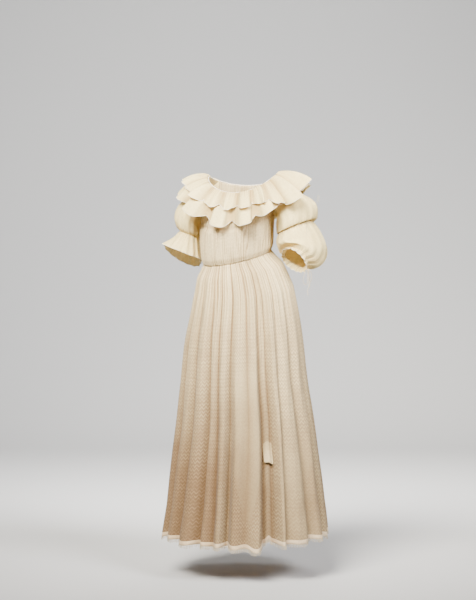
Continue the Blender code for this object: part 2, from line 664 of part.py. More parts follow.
def knot_skin(offset):
    """Place just clear of the knot's skin, on the way from its middle to a point of the tie."""
    away = tie_place(offset) - Vector(KNOT["place"])
    away.normalize()
    reach = 1.0 / Vector([a / r for a, r in zip(away, KNOT["radii"])]).length
    return Vector(KNOT["place"]) + away * (reach + KNOT_CLEARANCE)


def add_cord(name, route, is_loop, material, collection):
    """Round cord from the knot along a smooth curve through its route, and back to the knot if it is a loop."""
    places = [knot_skin(route[0])] + [tie_place(offset) for offset in route]
    if is_loop:
        places.append(knot_skin(route[-1]))
    length = sum((b - a).length for a, b in zip(places, places[1:]))
    count = max(4, round(length / CORD_STEP))
    curve = bpy.data.curves.new(name, "CURVE")
    curve.dimensions = "3D"
    curve.bevel_depth = CORD / 2.0
    curve.bevel_resolution = 2
    curve.use_fill_caps = True
    line = curve.splines.new("POLY")
    line.points.add(count)
    for k, point in enumerate(line.points):
        place = curve_through(places, k * (len(places) - 1) / count)
        point.co = (*place, 1.0)
    add_object(name, curve, material, collection)


def main():
    """Builds every piece of the gown."""
    clear_scene()
    gown = bpy.data.collections.new("chemise_gown")
    bpy.context.scene.collection.children.link(gown)
    muslin = principled("figured_muslin", MUSLIN)
    sheer = principled("sheer_muslin", SHEER)
    thread = principled("cotton_thread", THREAD)
    add_bodice("bodice_front", 0.0, muslin, gown)
    add_bodice("bodice_back", 180.0, muslin, gown)
    add_skirt("skirt_front", 0, muslin, gown)
    add_skirt("skirt_back", SIDE_FOLDS, muslin, gown)
    add_sleeve("sleeve_left", 1.0, LEFT_SLEEVE, sheer, gown)
    add_sleeve("sleeve_right", -1.0, RIGHT_SLEEVE, sheer, gown)
    add_ruffle("neck_ruffle_upper", UPPER_RUFFLE["rows"], upper_ruffle_point, sheer, gown)
    add_ruffle("neck_ruffle_lower", LOWER_RUFFLE["rows"], lower_ruffle_point, sheer, gown)
    add_fringe("hem_fringe_front", 0, thread, gown)
    add_fringe("hem_fringe_back", SIDE_FOLDS, thread, gown)
    add_tab("front_tab", muslin, gown)
    add_knot("left_tie_knot", thread, gown)
    add_cord("left_tie_loop_front", LOOP_FRONT, True, thread, gown)
    add_cord("left_tie_loop_back", LOOP_BACK, True, thread, gown)
    add_cord("left_tie_end_long", END_LONG, False, thread, gown)
    add_cord("left_tie_end_short", END_SHORT, False, thread, gown)


main()
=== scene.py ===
"""Looks of the chemise gown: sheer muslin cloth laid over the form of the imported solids.

Most sizes that give the form are the solids' own. The ruffles' lengths and waves, two sections of the left
sleeve at its gather, four folds at and beside the deep front fold, and the tab are set a little apart from
the solids', for the looks. The cloth here is thinner and carries the fine gathers, the creases, the rolled
hems, the stitches and the loose threads. Units are metres. Angles are
degrees round the gown from the centre front, positive towards its own left, which is +X.
"""

import logging
import math
import random
from collections.abc import Callable
from dataclasses import dataclass, field
from enum import Enum
from functools import lru_cache
from typing import TypeVar

import bmesh
import bpy
from mathutils import Matrix, Vector, noise


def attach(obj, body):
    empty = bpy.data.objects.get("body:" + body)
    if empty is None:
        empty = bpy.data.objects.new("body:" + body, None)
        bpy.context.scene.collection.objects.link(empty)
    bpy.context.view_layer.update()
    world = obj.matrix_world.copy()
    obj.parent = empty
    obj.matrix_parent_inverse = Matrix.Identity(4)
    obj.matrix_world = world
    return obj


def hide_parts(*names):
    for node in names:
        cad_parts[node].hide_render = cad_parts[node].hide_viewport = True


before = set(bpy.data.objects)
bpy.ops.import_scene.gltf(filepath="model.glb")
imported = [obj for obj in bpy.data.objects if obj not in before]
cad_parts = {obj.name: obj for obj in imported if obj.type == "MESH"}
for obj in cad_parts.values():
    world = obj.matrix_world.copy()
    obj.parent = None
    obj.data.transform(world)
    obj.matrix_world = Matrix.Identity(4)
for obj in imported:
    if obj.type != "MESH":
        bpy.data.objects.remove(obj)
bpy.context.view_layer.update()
LOG = logging.getLogger("gown")

Triple = tuple[float, float, float]
Colour = tuple[float, float, float, float]
Place = Callable[[float, float], Vector]
Tone = Callable[[float, float], Triple]
Smooth = TypeVar("Smooth", float, Vector)
Socket = bpy.types.NodeSocket
Value = Socket | Colour | float

WELD = 0.000001
HEM_RADIUS = 0.0008
FACING_EASE = 1.5
WANDER_REACH = 1.6
WANDER_SEED_STEP = 7.31
WANDER_START = (0.37, 0.5)


class Side(Enum):
    """Side of the gown, as the sign of X on it."""

    LEFT = 1.0
    RIGHT = -1.0


def mix(first: Smooth, second: Smooth, share: float) -> Smooth:
    """Gives a number or vector between two others.

    Args:
        first: Value at share 0.
        second: Value at share 1.
        share: Place between them.

    Returns:
        The value at that place.
    """
    return first + (second - first) * share


def ease(share: float) -> float:
    """Gives a share from 0 to 1 with a soft start and end.

    Args:
        share: Any number; it is held between 0 and 1.

    Returns:
        The softened share.
    """
    share = min(1.0, max(0.0, share))
    return share * share * (3.0 - 2.0 * share)


def bell(distance: float, width: float) -> float:
    """Gives 1 at no distance and nearly 0 beyond twice the width.

    Args:
        distance: How far away the point is.
        width: Width of the bell.

    Returns:
        Height of the bell there.
    """
    return math.exp(-((distance / width) ** 2))


def curve_through(values: list[Smooth], at: float) -> Smooth:
    """Gives a point on the smooth curve through a list of numbers or vectors.

    Args:
        values: Numbers or vectors, evenly placed.
        at: Place on the curve, from 0 to len(values) - 1.

    Returns:
        The number or vector at that place.
    """
    last = len(values) - 1
    low = min(last - 1, max(0, math.floor(at)))
    f = at - low
    p0, p1, p2, p3 = (values[min(last, max(0, low + k))] for k in (-1, 0, 1, 2))
    bend = p0 * 2.0 - p1 * 5.0 + p2 * 4.0 - p3
    turn = (p1 - p2) * 3.0 + p3 - p0
    return p1 + ((p2 - p0) + (bend + turn * f) * f) * (0.5 * f)


def outward(degrees: float) -> Vector:
    """Gives the level direction away from the gown's axis at an angle."""
    angle = math.radians(degrees)
    return Vector((math.sin(angle), -math.cos(angle), 0.0))


def up(height: float) -> Vector:
    """Gives a vector straight up."""
    return Vector((0.0, 0.0, height))


def smooth_route(places: list[Vector], steps: int) -> list[Vector]:
    """Gives evenly placed points on the smooth curve through a few places."""
    return [curve_through(places, k * (len(places) - 1) / steps) for k in range(steps + 1)]


def wander(seed: float, along: float, step: float = 1.0) -> float:
    """Gives a smooth uneven value between about -1 and 1.

    Args:
        seed: Number that tells one uneven line from another.
        along: Place on the line.
        step: Length of one bump on the line.

    Returns:
        The value there.
    """
    first, last = WANDER_START
    return WANDER_REACH * noise.noise(Vector((seed * WANDER_SEED_STEP + first, along / step, last)))


@dataclass(frozen=True)
class Around:
    """A size that differs between the gown's front, left, right and back."""

    front: float
    left: float
    right: float
    back: float

    def at(self, degrees: float) -> float:
        """Gives the size at an angle round the gown.

        Args:
            degrees: The angle.

        Returns:
            The size there.
        """
        facing = math.cos(math.radians(degrees))
        side = self.left if math.sin(math.radians(degrees)) > 0.0 else self.right
        return mix(side, self.front if facing > 0.0 else self.back, abs(facing) ** FACING_EASE)


@dataclass(frozen=True)
class Ring:
    """One oval of the gown's form at a height between 0 and 1."""

    at: float
    half_width: float
    front: float
    back: float
    shift_x: float

    def point(self, degrees: float) -> Vector:
        """Gives the plan point of the oval at an angle.

        Args:
            degrees: The angle.

        Returns:
            The point, at no height.
        """
        angle = math.radians(degrees)
        depth = self.front if math.cos(angle) > 0 else self.back
        return Vector((self.shift_x + self.half_width * math.sin(angle), -depth * math.cos(angle), 0.0))


@lru_cache(maxsize=4096)
def ring_at(rings: tuple[Ring, ...], at: float) -> Ring:
    """Gives the oval at a height, smoothly between those of a table.

    Args:
        rings: The table, from the lowest share to the highest.
        at: Height from 0 to 1.

    Returns:
        The oval there.
    """
    index = next((k for k in range(len(rings) - 1) if at <= rings[k + 1].at), len(rings) - 2)
    place = index + (at - rings[index].at) / (rings[index + 1].at - rings[index].at)
    names = ("half_width", "front", "back", "shift_x")
    return Ring(at, *(curve_through([getattr(ring, name) for ring in rings], place) for name in names))


NECK = Ring(1.0, 0.120, 0.088, 0.080, 0.003)
NECK_Z = Around(front=-0.064, left=-0.001, right=-0.003, back=-0.028)
HEM_Z = Around(front=-1.232, left=-1.215, right=-1.212, back=-1.206)
WAIST_FRONT_Z = -0.303
WAIST_BACK_RISE = 0.059
WAIST_LEFT_RISE = 0.0186
SEAM_GAP = 0.0003


def waist_height(degrees: float) -> float:
    """Gives the height of the waist seam at an angle.

    Args:
        degrees: The angle.

    Returns:
        The height.
    """
    angle = math.radians(degrees)
    level = WAIST_FRONT_Z + WAIST_BACK_RISE * (1.0 - math.cos(angle)) / 2.0
    return level + WAIST_LEFT_RISE * math.sin(angle)


class NodeCanvas:
    """Adds nodes to one material and links them."""

    def __init__(self, name: str) -> None:
        """Starts a material with its output and one cloth shader."""
        self.material = bpy.data.materials.new(name)
        self.material.use_nodes = True
        self.tree = self.material.node_tree
        self.shader = self.tree.nodes["Principled BSDF"]
        self.output = self.tree.nodes["Material Output"]

    def node(self, kind: str, **settings) -> bpy.types.Node:
        """Adds a node.

        Args:
            kind: The node's type name without its first words.
            **settings: Its properties.

        Returns:
            The new node.
        """
        made = self.tree.nodes.new("ShaderNode" + kind)
        for key, value in settings.items():
            setattr(made, key, value)
        return made

    def link(self, source: Socket, target: Socket) -> None:
        """Links an output socket to an input socket."""
        self.tree.links.new(source, target)

    def put(self, value: Value, socket: Socket) -> None:
        """Links a socket to an input, or sets the input to a plain value.

        Args:
            value: Socket or plain value.
            socket: The input.
        """
        if isinstance(value, (int, float, tuple)):
            socket.default_value = value
        else:
            self.link(value, socket)

    def math(self, operation: str, first: Value, second: Value = 0.0, third: Value = 0.0) -> Socket:
        """Adds a Math node.

        Args:
            operation: Name of the operation.
            first: First number or socket.
            second: Second number or socket.
            third: Third number or socket.

        Returns:
            The node's output socket.
        """
        made = self.node("Math", operation=operation)
        for value, socket in zip((first, second, third), made.inputs):
            self.put(value, socket)
        return made.outputs[0]

    def blend(self, share: Value, first: Value, second: Value, mode: str = "MIX") -> Socket:
        """Adds a colour mix.

        Args:
            share: Number or socket from 0 to 1.
            first: First colour or socket.
            second: Second colour or socket.
            mode: Way of mixing.

        Returns:
            The mixed colour's socket.
        """
        made = self.node("Mix", data_type="RGBA", blend_type=mode)
        self.put(share, made.inputs[0])
        self.put(first, made.inputs[6])
        self.put(second, made.inputs[7])
        return made.outputs[2]

    def spread(self, value: Value, low: float, high: float, to_low: float, to_high: float) -> Socket:
        """Maps a range softly to another and holds it there.

        Args:
            value: Socket to map.
            low: Value that becomes to_low.
            high: Value that becomes to_high.
            to_low: New low end.
            to_high: New high end.

        Returns:
            The mapped socket.
        """
        made = self.node("MapRange", interpolation_type="SMOOTHSTEP")
        for value_or_socket, socket in zip((value, low, high, to_low, to_high), made.inputs):
            self.put(value_or_socket, socket)
        return made.outputs[0]

    def cloud(self, vector: Socket, scale: float, detail: float = 3.0) -> Socket:
        """Adds a noise texture on a vector socket and gives its value from 0 to 1.

        Args:
            vector: Socket of the place.
            scale: How fine it is.
            detail: How many finer layers it has.

        Returns:
            The texture's socket.
        """
        made = self.node("TexNoise")
        self.link(vector, made.inputs["Vector"])
        self.fill(made, {"Scale": scale, "Detail": detail})
        return made.outputs["Fac"]

    def fill(self, node: bpy.types.Node, values: dict[str, Colour | float]) -> None:
        """Sets a node's inputs, by name, to plain values."""
        for name, value in values.items():
            node.inputs[name].default_value = value

    def bump(self, height: Socket, strength: float, distance: float) -> Socket:
        """Adds a bump.

        Args:
            height: Socket of its height.
            strength: How strongly it shows.
            distance: Its full height in metres.

        Returns:
            The socket of the bumped normal.
        """
        made = self.node("Bump")
        self.fill(made, {"Strength": strength, "Distance": distance})
        self.link(height, made.inputs["Height"])
        return made.outputs[0]

    def shader_mix(self, share: Value, first: Socket, second: Socket) -> Socket:
        """Adds a mix of two shaders.

        Args:
            share: Number or socket from 0 to 1.
            first: Shader at share 0.
            second: Shader at share 1.

        Returns:
            The mixed shader's socket.
        """
        made = self.node("MixShader")
        for value, socket in zip((share, first, second), made.inputs):
            self.put(value, socket)
        return made.outputs[0]


@dataclass(frozen=True)
class Muslin:
    """Cotton muslin, plain or with small woven bands of zigzags."""

    name: str
    colour: Colour
    thin: Colour
    # Colour multiplied in by the first tone channel: real age and stains, and on the skirt also painted shade
    # that darkens it towards the hem.
    aged_and_shaded: Colour
    cover: float = 0.90
    glow: float = 0.28
    figured: bool = False
    row_pitch: float = 0.0130
    zigzag_pitch: float = 0.0122
    zigzag_rise: float = 1.50
    band_pitch: float = 0.0260
    line_edge: tuple[float, float] = (0.10, 0.27)
    band_edge: tuple[float, float] = (0.03, 0.14)
    band_least: float = 0.35
    figure_strength: float = 0.85
    wear_scale: float = 19.0
    wear_range: tuple[float, float] = (0.36, 0.60)
    wear_least: float = 0.45
    thread_pitch: float = 0.00085
    slub_scale: float = 140.0
    patch_scale: float = 5.5
    stain: float = 0.13
    # Colour multiplied in by the third tone channel: painted shade in valleys, creases and recesses.
    painted_shade: Colour = (0.56, 0.465, 0.385, 1.0)
    crease_scale: float = 38.0
    crease_share: float = 2.2
    crease_height: float = 0.0011
    crinkle: float = 0.35
    close_weave: float = 0.08

    def figure(self, canvas: NodeCanvas, across: Socket, along: Socket, cloth: Socket) -> Socket:
        """Draws the woven figure: rows of small steep zigzags, worn in patches.

        Args:
            canvas: Material that it goes to.
            across: Socket of the place along the weft.
            along: Socket of the place along the warp.
            cloth: Socket of the flat place on the cloth.

        Returns:
            Socket that is 1 on the figure's threads.
        """
        swing = canvas.math("PINGPONG", canvas.math("DIVIDE", across, self.zigzag_pitch), 0.5)
        row = canvas.math("DIVIDE", along, self.row_pitch)
        away = canvas.math("PINGPONG", canvas.math("MULTIPLY_ADD", swing, -self.zigzag_rise, row), 0.5)
        mark = canvas.spread(away, *self.line_edge, 1.0, 0.0)
        band = canvas.math("PINGPONG", canvas.math("DIVIDE", along, self.band_pitch), 0.5)
        mark = canvas.math("MULTIPLY", mark, canvas.spread(band, *self.band_edge, self.band_least, 1.0))
        worn = canvas.cloud(cloth, self.wear_scale, 4.0)
        worn = canvas.spread(worn, *self.wear_range, self.wear_least, 1.0)
        return canvas.math("MULTIPLY", mark, worn)

    def build(self) -> bpy.types.Material:
        """Makes the material.

        Returns:
            The finished material.
        """
        canvas = NodeCanvas(self.name)
        shader = canvas.shader
        flat = canvas.node("SeparateXYZ")
        cloth = canvas.node("UVMap", uv_map="cloth").outputs[0]
        canvas.link(cloth, flat.inputs[0])
        across, along = flat.outputs[0], flat.outputs[1]
        place = canvas.node("TexCoord").outputs["Object"]
        tone = canvas.node("SeparateColor")
        canvas.link(canvas.node("Attribute", attribute_name="tone").outputs["Color"], tone.inputs[0])
        age, dense, deep = tone.outputs[0], tone.outputs[1], tone.outputs[2]

        slub = canvas.cloud(cloth, self.slub_scale, 2.0)
        patch = canvas.cloud(place, self.patch_scale, 4.0)
        threads = canvas.math(
            "MULTIPLY",
            canvas.math("SINE", canvas.math("MULTIPLY", across, math.tau / self.thread_pitch)),
            canvas.math("SINE", canvas.math("MULTIPLY", along, math.tau / self.thread_pitch)),
        )
        body = canvas.spread(slub, 0.30, 0.72, 0.0, 0.5)
        if self.figured:
            mark = canvas.math("MULTIPLY", self.figure(canvas, across, along, cloth), dense)
            plain = canvas.math("MULTIPLY_ADD", body, 0.6, canvas.spread(dense, 0.0, 1.0, 0.48, 0.0))
            body = canvas.math("MULTIPLY_ADD", mark, self.figure_strength, plain)
        else:
            body = canvas.math("ADD", body, canvas.math("MULTIPLY", dense, 0.4))
        body = canvas.math("MINIMUM", body, 1.0)
        colour = canvas.blend(body, self.thin, self.colour)
        # Stains darken the colour, and on the skirt so does painted shade towards the hem.
        stain_and_shade_share = canvas.math("ADD", canvas.spread(patch, 0.42, 0.72, 0.0, self.stain), age)
        colour = canvas.blend(canvas.math("MINIMUM", stain_and_shade_share, 1.0), colour, self.aged_and_shaded, "MULTIPLY")
        # Painted shade: the third tone channel darkens valleys, creases and recesses.
        colour = canvas.blend(deep, colour, self.painted_shade, "MULTIPLY")
        canvas.link(colour, shader.inputs["Base Color"])
        soft = {"Roughness": 0.88, "Specular IOR Level": 0.10, "Sheen Weight": 0.10, "Sheen Roughness": 0.55}
        canvas.fill(shader, soft)

        height = canvas.math("ADD", canvas.math("MULTIPLY", threads, 0.10), body)
        crease = canvas.math("MULTIPLY", canvas.cloud(place, self.crease_scale), self.crease_share)
        normal = canvas.bump(canvas.math("ADD", height, crease), self.crinkle, self.crease_height)
        canvas.link(normal, shader.inputs["Normal"])

        through = canvas.node("BsdfTranslucent")
        canvas.link(colour, through.inputs["Color"])
        canvas.link(normal, through.inputs["Normal"])
        lit = canvas.shader_mix(self.glow, shader.outputs[0], through.outputs[0])
        holes = canvas.node("BsdfTransparent")
        closed = canvas.spread(body, 0.0, 1.0, self.cover, min(1.0, self.cover + self.close_weave))
        canvas.link(canvas.shader_mix(closed, holes.outputs[0], lit), canvas.output.inputs[0])
        return canvas.material


@dataclass(frozen=True)
class Thread:
    """Spun cotton of the cords, stitches, rolled hems and fringe."""

    name: str
    colour: Colour
    shade: Colour
    twist_scale: float = 260.0
    twist_unevenness: float = 1.5
    fibre_scale: float = 900.0
    fibre_height: float = 0.0003

    def build(self) -> bpy.types.Material:
        """Makes the material.

        Returns:
            The finished material.
        """
        canvas = NodeCanvas(self.name)
        place = canvas.node("TexCoord").outputs["Object"]
        twist = canvas.node("TexWave", bands_direction="DIAGONAL")
        canvas.link(place, twist.inputs["Vector"])
        canvas.fill(twist, {"Scale": self.twist_scale, "Distortion": self.twist_unevenness})
        fibre = canvas.cloud(place, self.fibre_scale, 2.0)
        share = canvas.math("MULTIPLY", twist.outputs["Fac"], fibre)
        canvas.link(canvas.blend(share, self.shade, self.colour), canvas.shader.inputs["Base Color"])
        canvas.fill(canvas.shader, {"Roughness": 0.9, "Specular IOR Level": 0.15, "Sheen Weight": 0.2})
        canvas.link(canvas.bump(share, 0.5, self.fibre_height), canvas.shader.inputs["Normal"])
        return canvas.material


@dataclass
class Finishes:
    """Every finish of the gown."""

    figured: bpy.types.Material = field(init=False)
    sheer: bpy.types.Material = field(init=False)
    selvage: bpy.types.Material = field(init=False)
    thread: bpy.types.Material = field(init=False)
    rolled: bpy.types.Material = field(init=False)

    def __post_init__(self) -> None:
        """Makes the materials."""
        self.figured = Muslin(
            "figured_muslin_cloth",
            colour=(0.99, 0.84, 0.48, 1.0),
            thin=(0.66, 0.50, 0.28, 1.0),
            # This aged colour is dark because on the skirt it also paints shade towards the hem.
            aged_and_shaded=(0.372, 0.294, 0.262, 1.0),
            cover=0.95,
            figured=True,
        ).build()
        self.sheer = Muslin(
            "sheer_muslin_cloth",
            colour=(0.99, 0.87, 0.46, 1.0),
            thin=(0.92, 0.78, 0.39, 1.0),
            aged_and_shaded=(0.92, 0.80, 0.62, 1.0),
            cover=0.90,
            glow=0.25,
        ).build()
        self.selvage = Muslin(
            "hem_selvage_cloth",
            colour=(0.95, 0.84, 0.64, 1.0),
            thin=(0.84, 0.71, 0.52, 1.0),
            aged_and_shaded=(0.82, 0.71, 0.57, 1.0),
            cover=0.97,
            glow=0.15,
            crinkle=0.6,
        ).build()
        self.thread = Thread("cotton_thread_spun", (0.78, 0.69, 0.52, 1.0), (0.42, 0.34, 0.23, 1.0)).build()
        self.rolled = Thread("rolled_hem_cloth", (0.97, 0.91, 0.74, 1.0), (0.90, 0.80, 0.60, 1.0)).build()


@dataclass
class Sheet:
    """A sheet of cloth on a grid of columns and rows, as an object with a thin wall."""

    name: str
    columns: int
    rows: int
    flat: tuple[float, float]
    closed: bool = False
    wall: float = 0.0005

    def grid(self, place: Place, tone: Tone) -> bmesh.types.BMesh:
        """Makes the open sheet.

        Args:
            place: Point of the cloth at shares from 0 to 1 of its columns and rows.
            tone: Age and stains (on the skirt with painted shade towards the hem), density and depth of
                painted shade there, each from 0 to 1.

        Returns:
            The sheet, with its flat map and its tones.
        """
        sheet = bmesh.new()
        bmesh.ops.create_grid(sheet, x_segments=self.columns, y_segments=self.rows, size=1.0)
        flat = sheet.loops.layers.uv.new("cloth")
        shade = sheet.verts.layers.float_color.new("tone")
        for face in sheet.faces:
            for loop in face.loops:
                across, down = (loop.vert.co.x + 1.0) / 2.0, (loop.vert.co.y + 1.0) / 2.0
                loop[flat].uv = (across * self.flat[0], down * self.flat[1])
        for corner in sheet.verts:
            across = round((corner.co.x + 1.0) / 2.0 * self.columns) / self.columns
            down = round((corner.co.y + 1.0) / 2.0 * self.rows) / self.rows
            if self.closed and across == 1.0:
                across = 0.0
            corner[shade] = (*tone(across, down), 1.0)
            corner.co = place(across, down)
        if self.closed:
            bmesh.ops.remove_doubles(sheet, verts=sheet.verts, dist=WELD)
        return sheet

    def face_outwards(self, sheet: bmesh.types.BMesh, inside: Callable[[Vector], Vector]) -> None:
        """Turns the faces over if they look towards the inside.

        Args:
            sheet: The open sheet.
            inside: Gives a point inside the form for a point of it.
        """
        sheet.normal_update()
        facing = 0.0
        for face in sheet.faces:
            middle = face.calc_center_median()
            facing += face.normal.dot(middle - inside(middle))
        if facing < 0.0:
            bmesh.ops.reverse_faces(sheet, faces=sheet.faces)

    def build(
        self,
        place: Place,
        tone: Tone,
        inside: Callable[[Vector], Vector],
        materials: list[bpy.types.Material],
        edge_rows: int = 0,
    ) -> bpy.types.Object:
        """Makes the cloth.

        Args:
            place: Point of the cloth at shares from 0 to 1 of its columns and rows.
            tone: Age and stains (on the skirt with painted shade towards the hem), density and depth of
                painted shade there.
            inside: Gives a point inside the form for a point of it.
            materials: The cloth's finish and, if it has one, that of its edge rows.
            edge_rows: How many of the last rows take the second finish.

        Returns:
            The finished object, on the root body.
        """
        sheet = self.grid(place, tone)
        if edge_rows:
            flat = sheet.loops.layers.uv["cloth"]
            limit = self.flat[1] * (1.0 - (edge_rows - 0.5) / self.rows)
            for face in sheet.faces:
                if max(loop[flat].uv.y for loop in face.loops) > limit:
                    face.material_index = 1
        self.face_outwards(sheet, inside)
        made = new_object(self.name, sheet, materials)
        wall = made.modifiers.new("wall", "SOLIDIFY")
        wall.thickness = self.wall
        wall.offset = -1.0
        return made


def new_object(name: str, shape: bmesh.types.BMesh, materials: list[bpy.types.Material]) -> bpy.types.Object:
    """Makes a mesh object from a bmesh and frees the bmesh.

    Args:
        name: The piece's name.
        shape: Its mesh.
        materials: Its finishes.

    Returns:
        The object, on the root body.
    """
    mesh = bpy.data.meshes.new(name)
    shape.to_mesh(mesh)
    shape.free()
    mesh.shade_smooth()
    for material in materials:
        mesh.materials.append(material)
    made = bpy.data.objects.new(name, mesh)
    bpy.context.scene.collection.objects.link(made)
    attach(made, "root")
    return made


def cord_object(
    name: str,
    lines: list[list[Vector]],
    radius: float,
    material: bpy.types.Material,
    closed: bool = False,
    sides: int = 1,
) -> bpy.types.Object:
    """Makes round cords or threads along lines of points.

    Args:
        name: The piece's name.
        lines: One list of points for each cord.
        radius: Radius of the cord.
        material: Its finish.
        closed: Whether each line runs back to its start.
        sides: Fineness of the round section.

    Returns:
        The curve object, on the root body.
    """
    curve = bpy.data.curves.new(name, "CURVE")
    curve.dimensions = "3D"
    curve.bevel_depth = radius
    curve.bevel_resolution = sides
    curve.use_fill_caps = True
    for points in lines:
        line = curve.splines.new("POLY")
        line.points.add(len(points) - 1)
        line.use_cyclic_u = closed
        line.use_smooth = True
        for spot, point in zip(line.points, points):
            spot.co = (*point, 1.0)
    curve.materials.append(material)
    made = bpy.data.objects.new(name, curve)
    bpy.context.scene.collection.objects.link(made)
    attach(made, "root")
    return made


def length_of(points: list[Vector]) -> float:
    """Gives the length of a line of points."""
    return sum((b - a).length for a, b in zip(points, points[1:]))


def gown_axis(point: Vector) -> Vector:
    """Gives the middle of the gown at a point's height."""
    return up(point.z)


@dataclass
class Bodice:
    """Gathered front and back of the bodice, with a drawstring casing under the bust."""

    rings: tuple[Ring, ...] = (
        Ring(0.00, 0.1185, 0.099, 0.089, -0.017),
        Ring(0.07, 0.1250, 0.109, 0.094, -0.017),
        Ring(0.25, 0.1275, 0.117, 0.099, -0.017),
        Ring(0.42, 0.1290, 0.122, 0.103, -0.016),
        Ring(0.50, 0.1275, 0.118, 0.102, -0.014),
        Ring(0.60, 0.1285, 0.118, 0.102, -0.010),
        Ring(0.80, 0.1250, 0.103, 0.094, -0.003),
        NECK,
    )
    gathers: int = 24
    fine_gathers: int = 50
    depth: float = 0.0052
    neck_depth: float = 0.0016
    fine_depth: float = 0.0015
    fine_swing: float = 0.8
    fine_least: float = 0.26
    swell: float = 0.0016
    flat_from: float = 0.6
    unevenness: float = 0.3
    casing_at: float = 0.485
    casing_half: float = 0.026
    casing_pinch: float = 0.0030
    waist_line: float = 0.028
    stitch_half: float = 0.008
    stitch_lift: float = 0.0004
    stitch_radius: float = 0.00028
    armhole_foot: float = 0.47
    armhole_turned: float = 0.78
    side: float = 90.0
    strap: float = 56.0
    cut: tuple[float, float] = (0.455, 0.245)
    columns: int = 384
    rows: int = 56

    def base(self, degrees: float, at: float) -> Vector:
        """Gives the point before gathering, from the waist seam to the neckline.

        Args:
            degrees: Angle round the gown.
            at: Height from the waist seam, 0, to the neckline, 1.

        Returns:
            The point.
        """
        place = ring_at(self.rings, at).point(degrees)
        place.z = mix(waist_height(degrees), NECK_Z.at(degrees), at)
        return place

    def edge(self, at: float) -> float:
        """Gives the angle from a panel's middle to its edge at a height."""
        turned = (at - self.armhole_foot) / (self.armhole_turned - self.armhole_foot)
        return mix(self.side, self.strap, ease(turned))

    def fine(self, middle: float, across: float, at: float) -> float:
        """Gives the fine gathers' share of depth, 0 on a ridge and 1 in a valley.

        Args:
            middle: Angle of the panel's middle.
            across: Place across the panel from -1 to 1.
            at: Height from 0 to 1.

        Returns:
            The share.
        """
        keep = 1.0 - abs(across) ** 8
        swing = self.fine_swing * wander(middle + 3.0, across * 9.0 + 1.5 * at) * keep
        turn = (across + 1.0) * math.pi * self.fine_gathers + math.tau * swing
        index = math.floor(turn / math.tau)
        strong = min(1.0, max(0.0, self.fine_least + 1.15 * wander(index * 0.71 + middle, at * 2.6)))
        return strong * (0.5 + 0.5 * math.cos(turn)) ** 1.8

    def point(self, middle: float, across: float, at: float) -> Vector:
        """Gives a point of the gathered cloth.

        Args:
            middle: Angle of the panel's middle.
            across: Place across the panel from -1 to 1.
            at: Height from the waist seam, 0, to the neckline, 1.

        Returns:
            The point.
        """
        degrees = middle + across * self.edge(at)
        depth = mix(self.depth, self.neck_depth, ease((at - self.flat_from) / (1.0 - self.flat_from)))
        uneven = 1.0 + self.unevenness * math.sin(across * 17.0 + middle) * (1.0 - across**4)
        wave = math.cos((across + 1.0) * math.pi * self.gathers)
        soft = 0.16 + 0.84 * abs(across) ** 6
        coarse = depth * uneven * 0.5 * (1.0 + wave) * soft
        drawn = max(bell(at - self.casing_at, 0.10), bell(at, 0.10), bell(at - 1.0, 0.12))
        inner = 1.0 - abs(across) ** 10
        fine = self.fine_depth * (0.62 + 0.38 * drawn) * self.fine(middle, across, at) * inner
        pinch = self.casing_pinch * bell(at - self.casing_at, 0.022) * inner
        swell = self.swell * wander(middle + 11.0, across * 5.0 + at * 3.0) * inner * math.sin(math.pi * at)
        return self.base(degrees, at) - outward(degrees) * (coarse + fine + pinch + swell)

    def tone(self, middle: float, across: float, at: float) -> Triple:
        """Gives the cloth's age, density and shade at a place.

        Args:
            middle: Angle of the panel's middle.
            across: Place across the panel from -1 to 1.
            at: Height from the waist seam, 0, to the neckline, 1.

        Returns:
            The three values.
        """
        # Painted shade: the fine gathers' valleys and a band along the casing under the bust are darkened in
        # the colour.
        deep = self.fine(middle, across, at)
        casing = bell(at - self.casing_at, 0.02)
        age = 0.12 + 0.14 * wander(middle + 5.0, across * 4.0, 1.0)
        return (max(0.0, age), 0.12, min(1.0, 0.95 * deep + 0.22 * casing))

    def panel(self, name: str, node: str, middle: float, finishes: Finishes) -> bpy.types.Object:
        """Makes one panel.

        Args:
            name: The piece's name.
            node: The solid that it stands for.
            middle: Angle of the panel's middle.
            finishes: The gown's finishes.

        Returns:
            The panel.
        """
        sheet = Sheet(name, self.columns, self.rows, self.cut)
        panel = sheet.build(
            lambda u, v: self.point(middle, 2.0 * u - 1.0, v),
            lambda u, v: self.tone(middle, 2.0 * u - 1.0, v),
            gown_axis,
            [finishes.figured],
        )
        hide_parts(node)
        return panel

    def casing_stitches(self, finishes: Finishes) -> bpy.types.Object:
        """Sews the two lines of the casing under the bust and the line above the waist seam.

        Args:
            finishes: The gown's finishes.

        Returns:
            The stitches.
        """
        lines = []
        for middle in (0.0, 180.0):
            for at in (self.casing_at - self.casing_half, self.casing_at + self.casing_half, self.waist_line):
                for k in range(self.fine_gathers):
                    across = 2.0 * (k + 0.5) / self.fine_gathers - 1.0
                    ends = (across - self.stitch_half, across, across + self.stitch_half)
                    lift = outward(middle + across * self.edge(at)) * self.stitch_lift
                    lines.append([self.point(middle, spot, at) + lift for spot in ends])
        stitches = cord_object("bodice_stitches", lines, self.stitch_radius, finishes.thread)
        return stitches

    def build(self, finishes: Finishes) -> None:
        """Makes both panels and their stitches."""
        self.panel("bodice_front_cloth", "bodice_front", 0.0, finishes)
        self.panel("bodice_back_cloth", "bodice_back", 180.0, finishes)
        self.casing_stitches(finishes)


@dataclass(frozen=True)
class Fold:
    """One trough of the skirt and the fold that follows it."""

    waist: float
    mid: float
    hem: float
    depth: float
    crest: float
    fall: float
    crease: float = 0.3


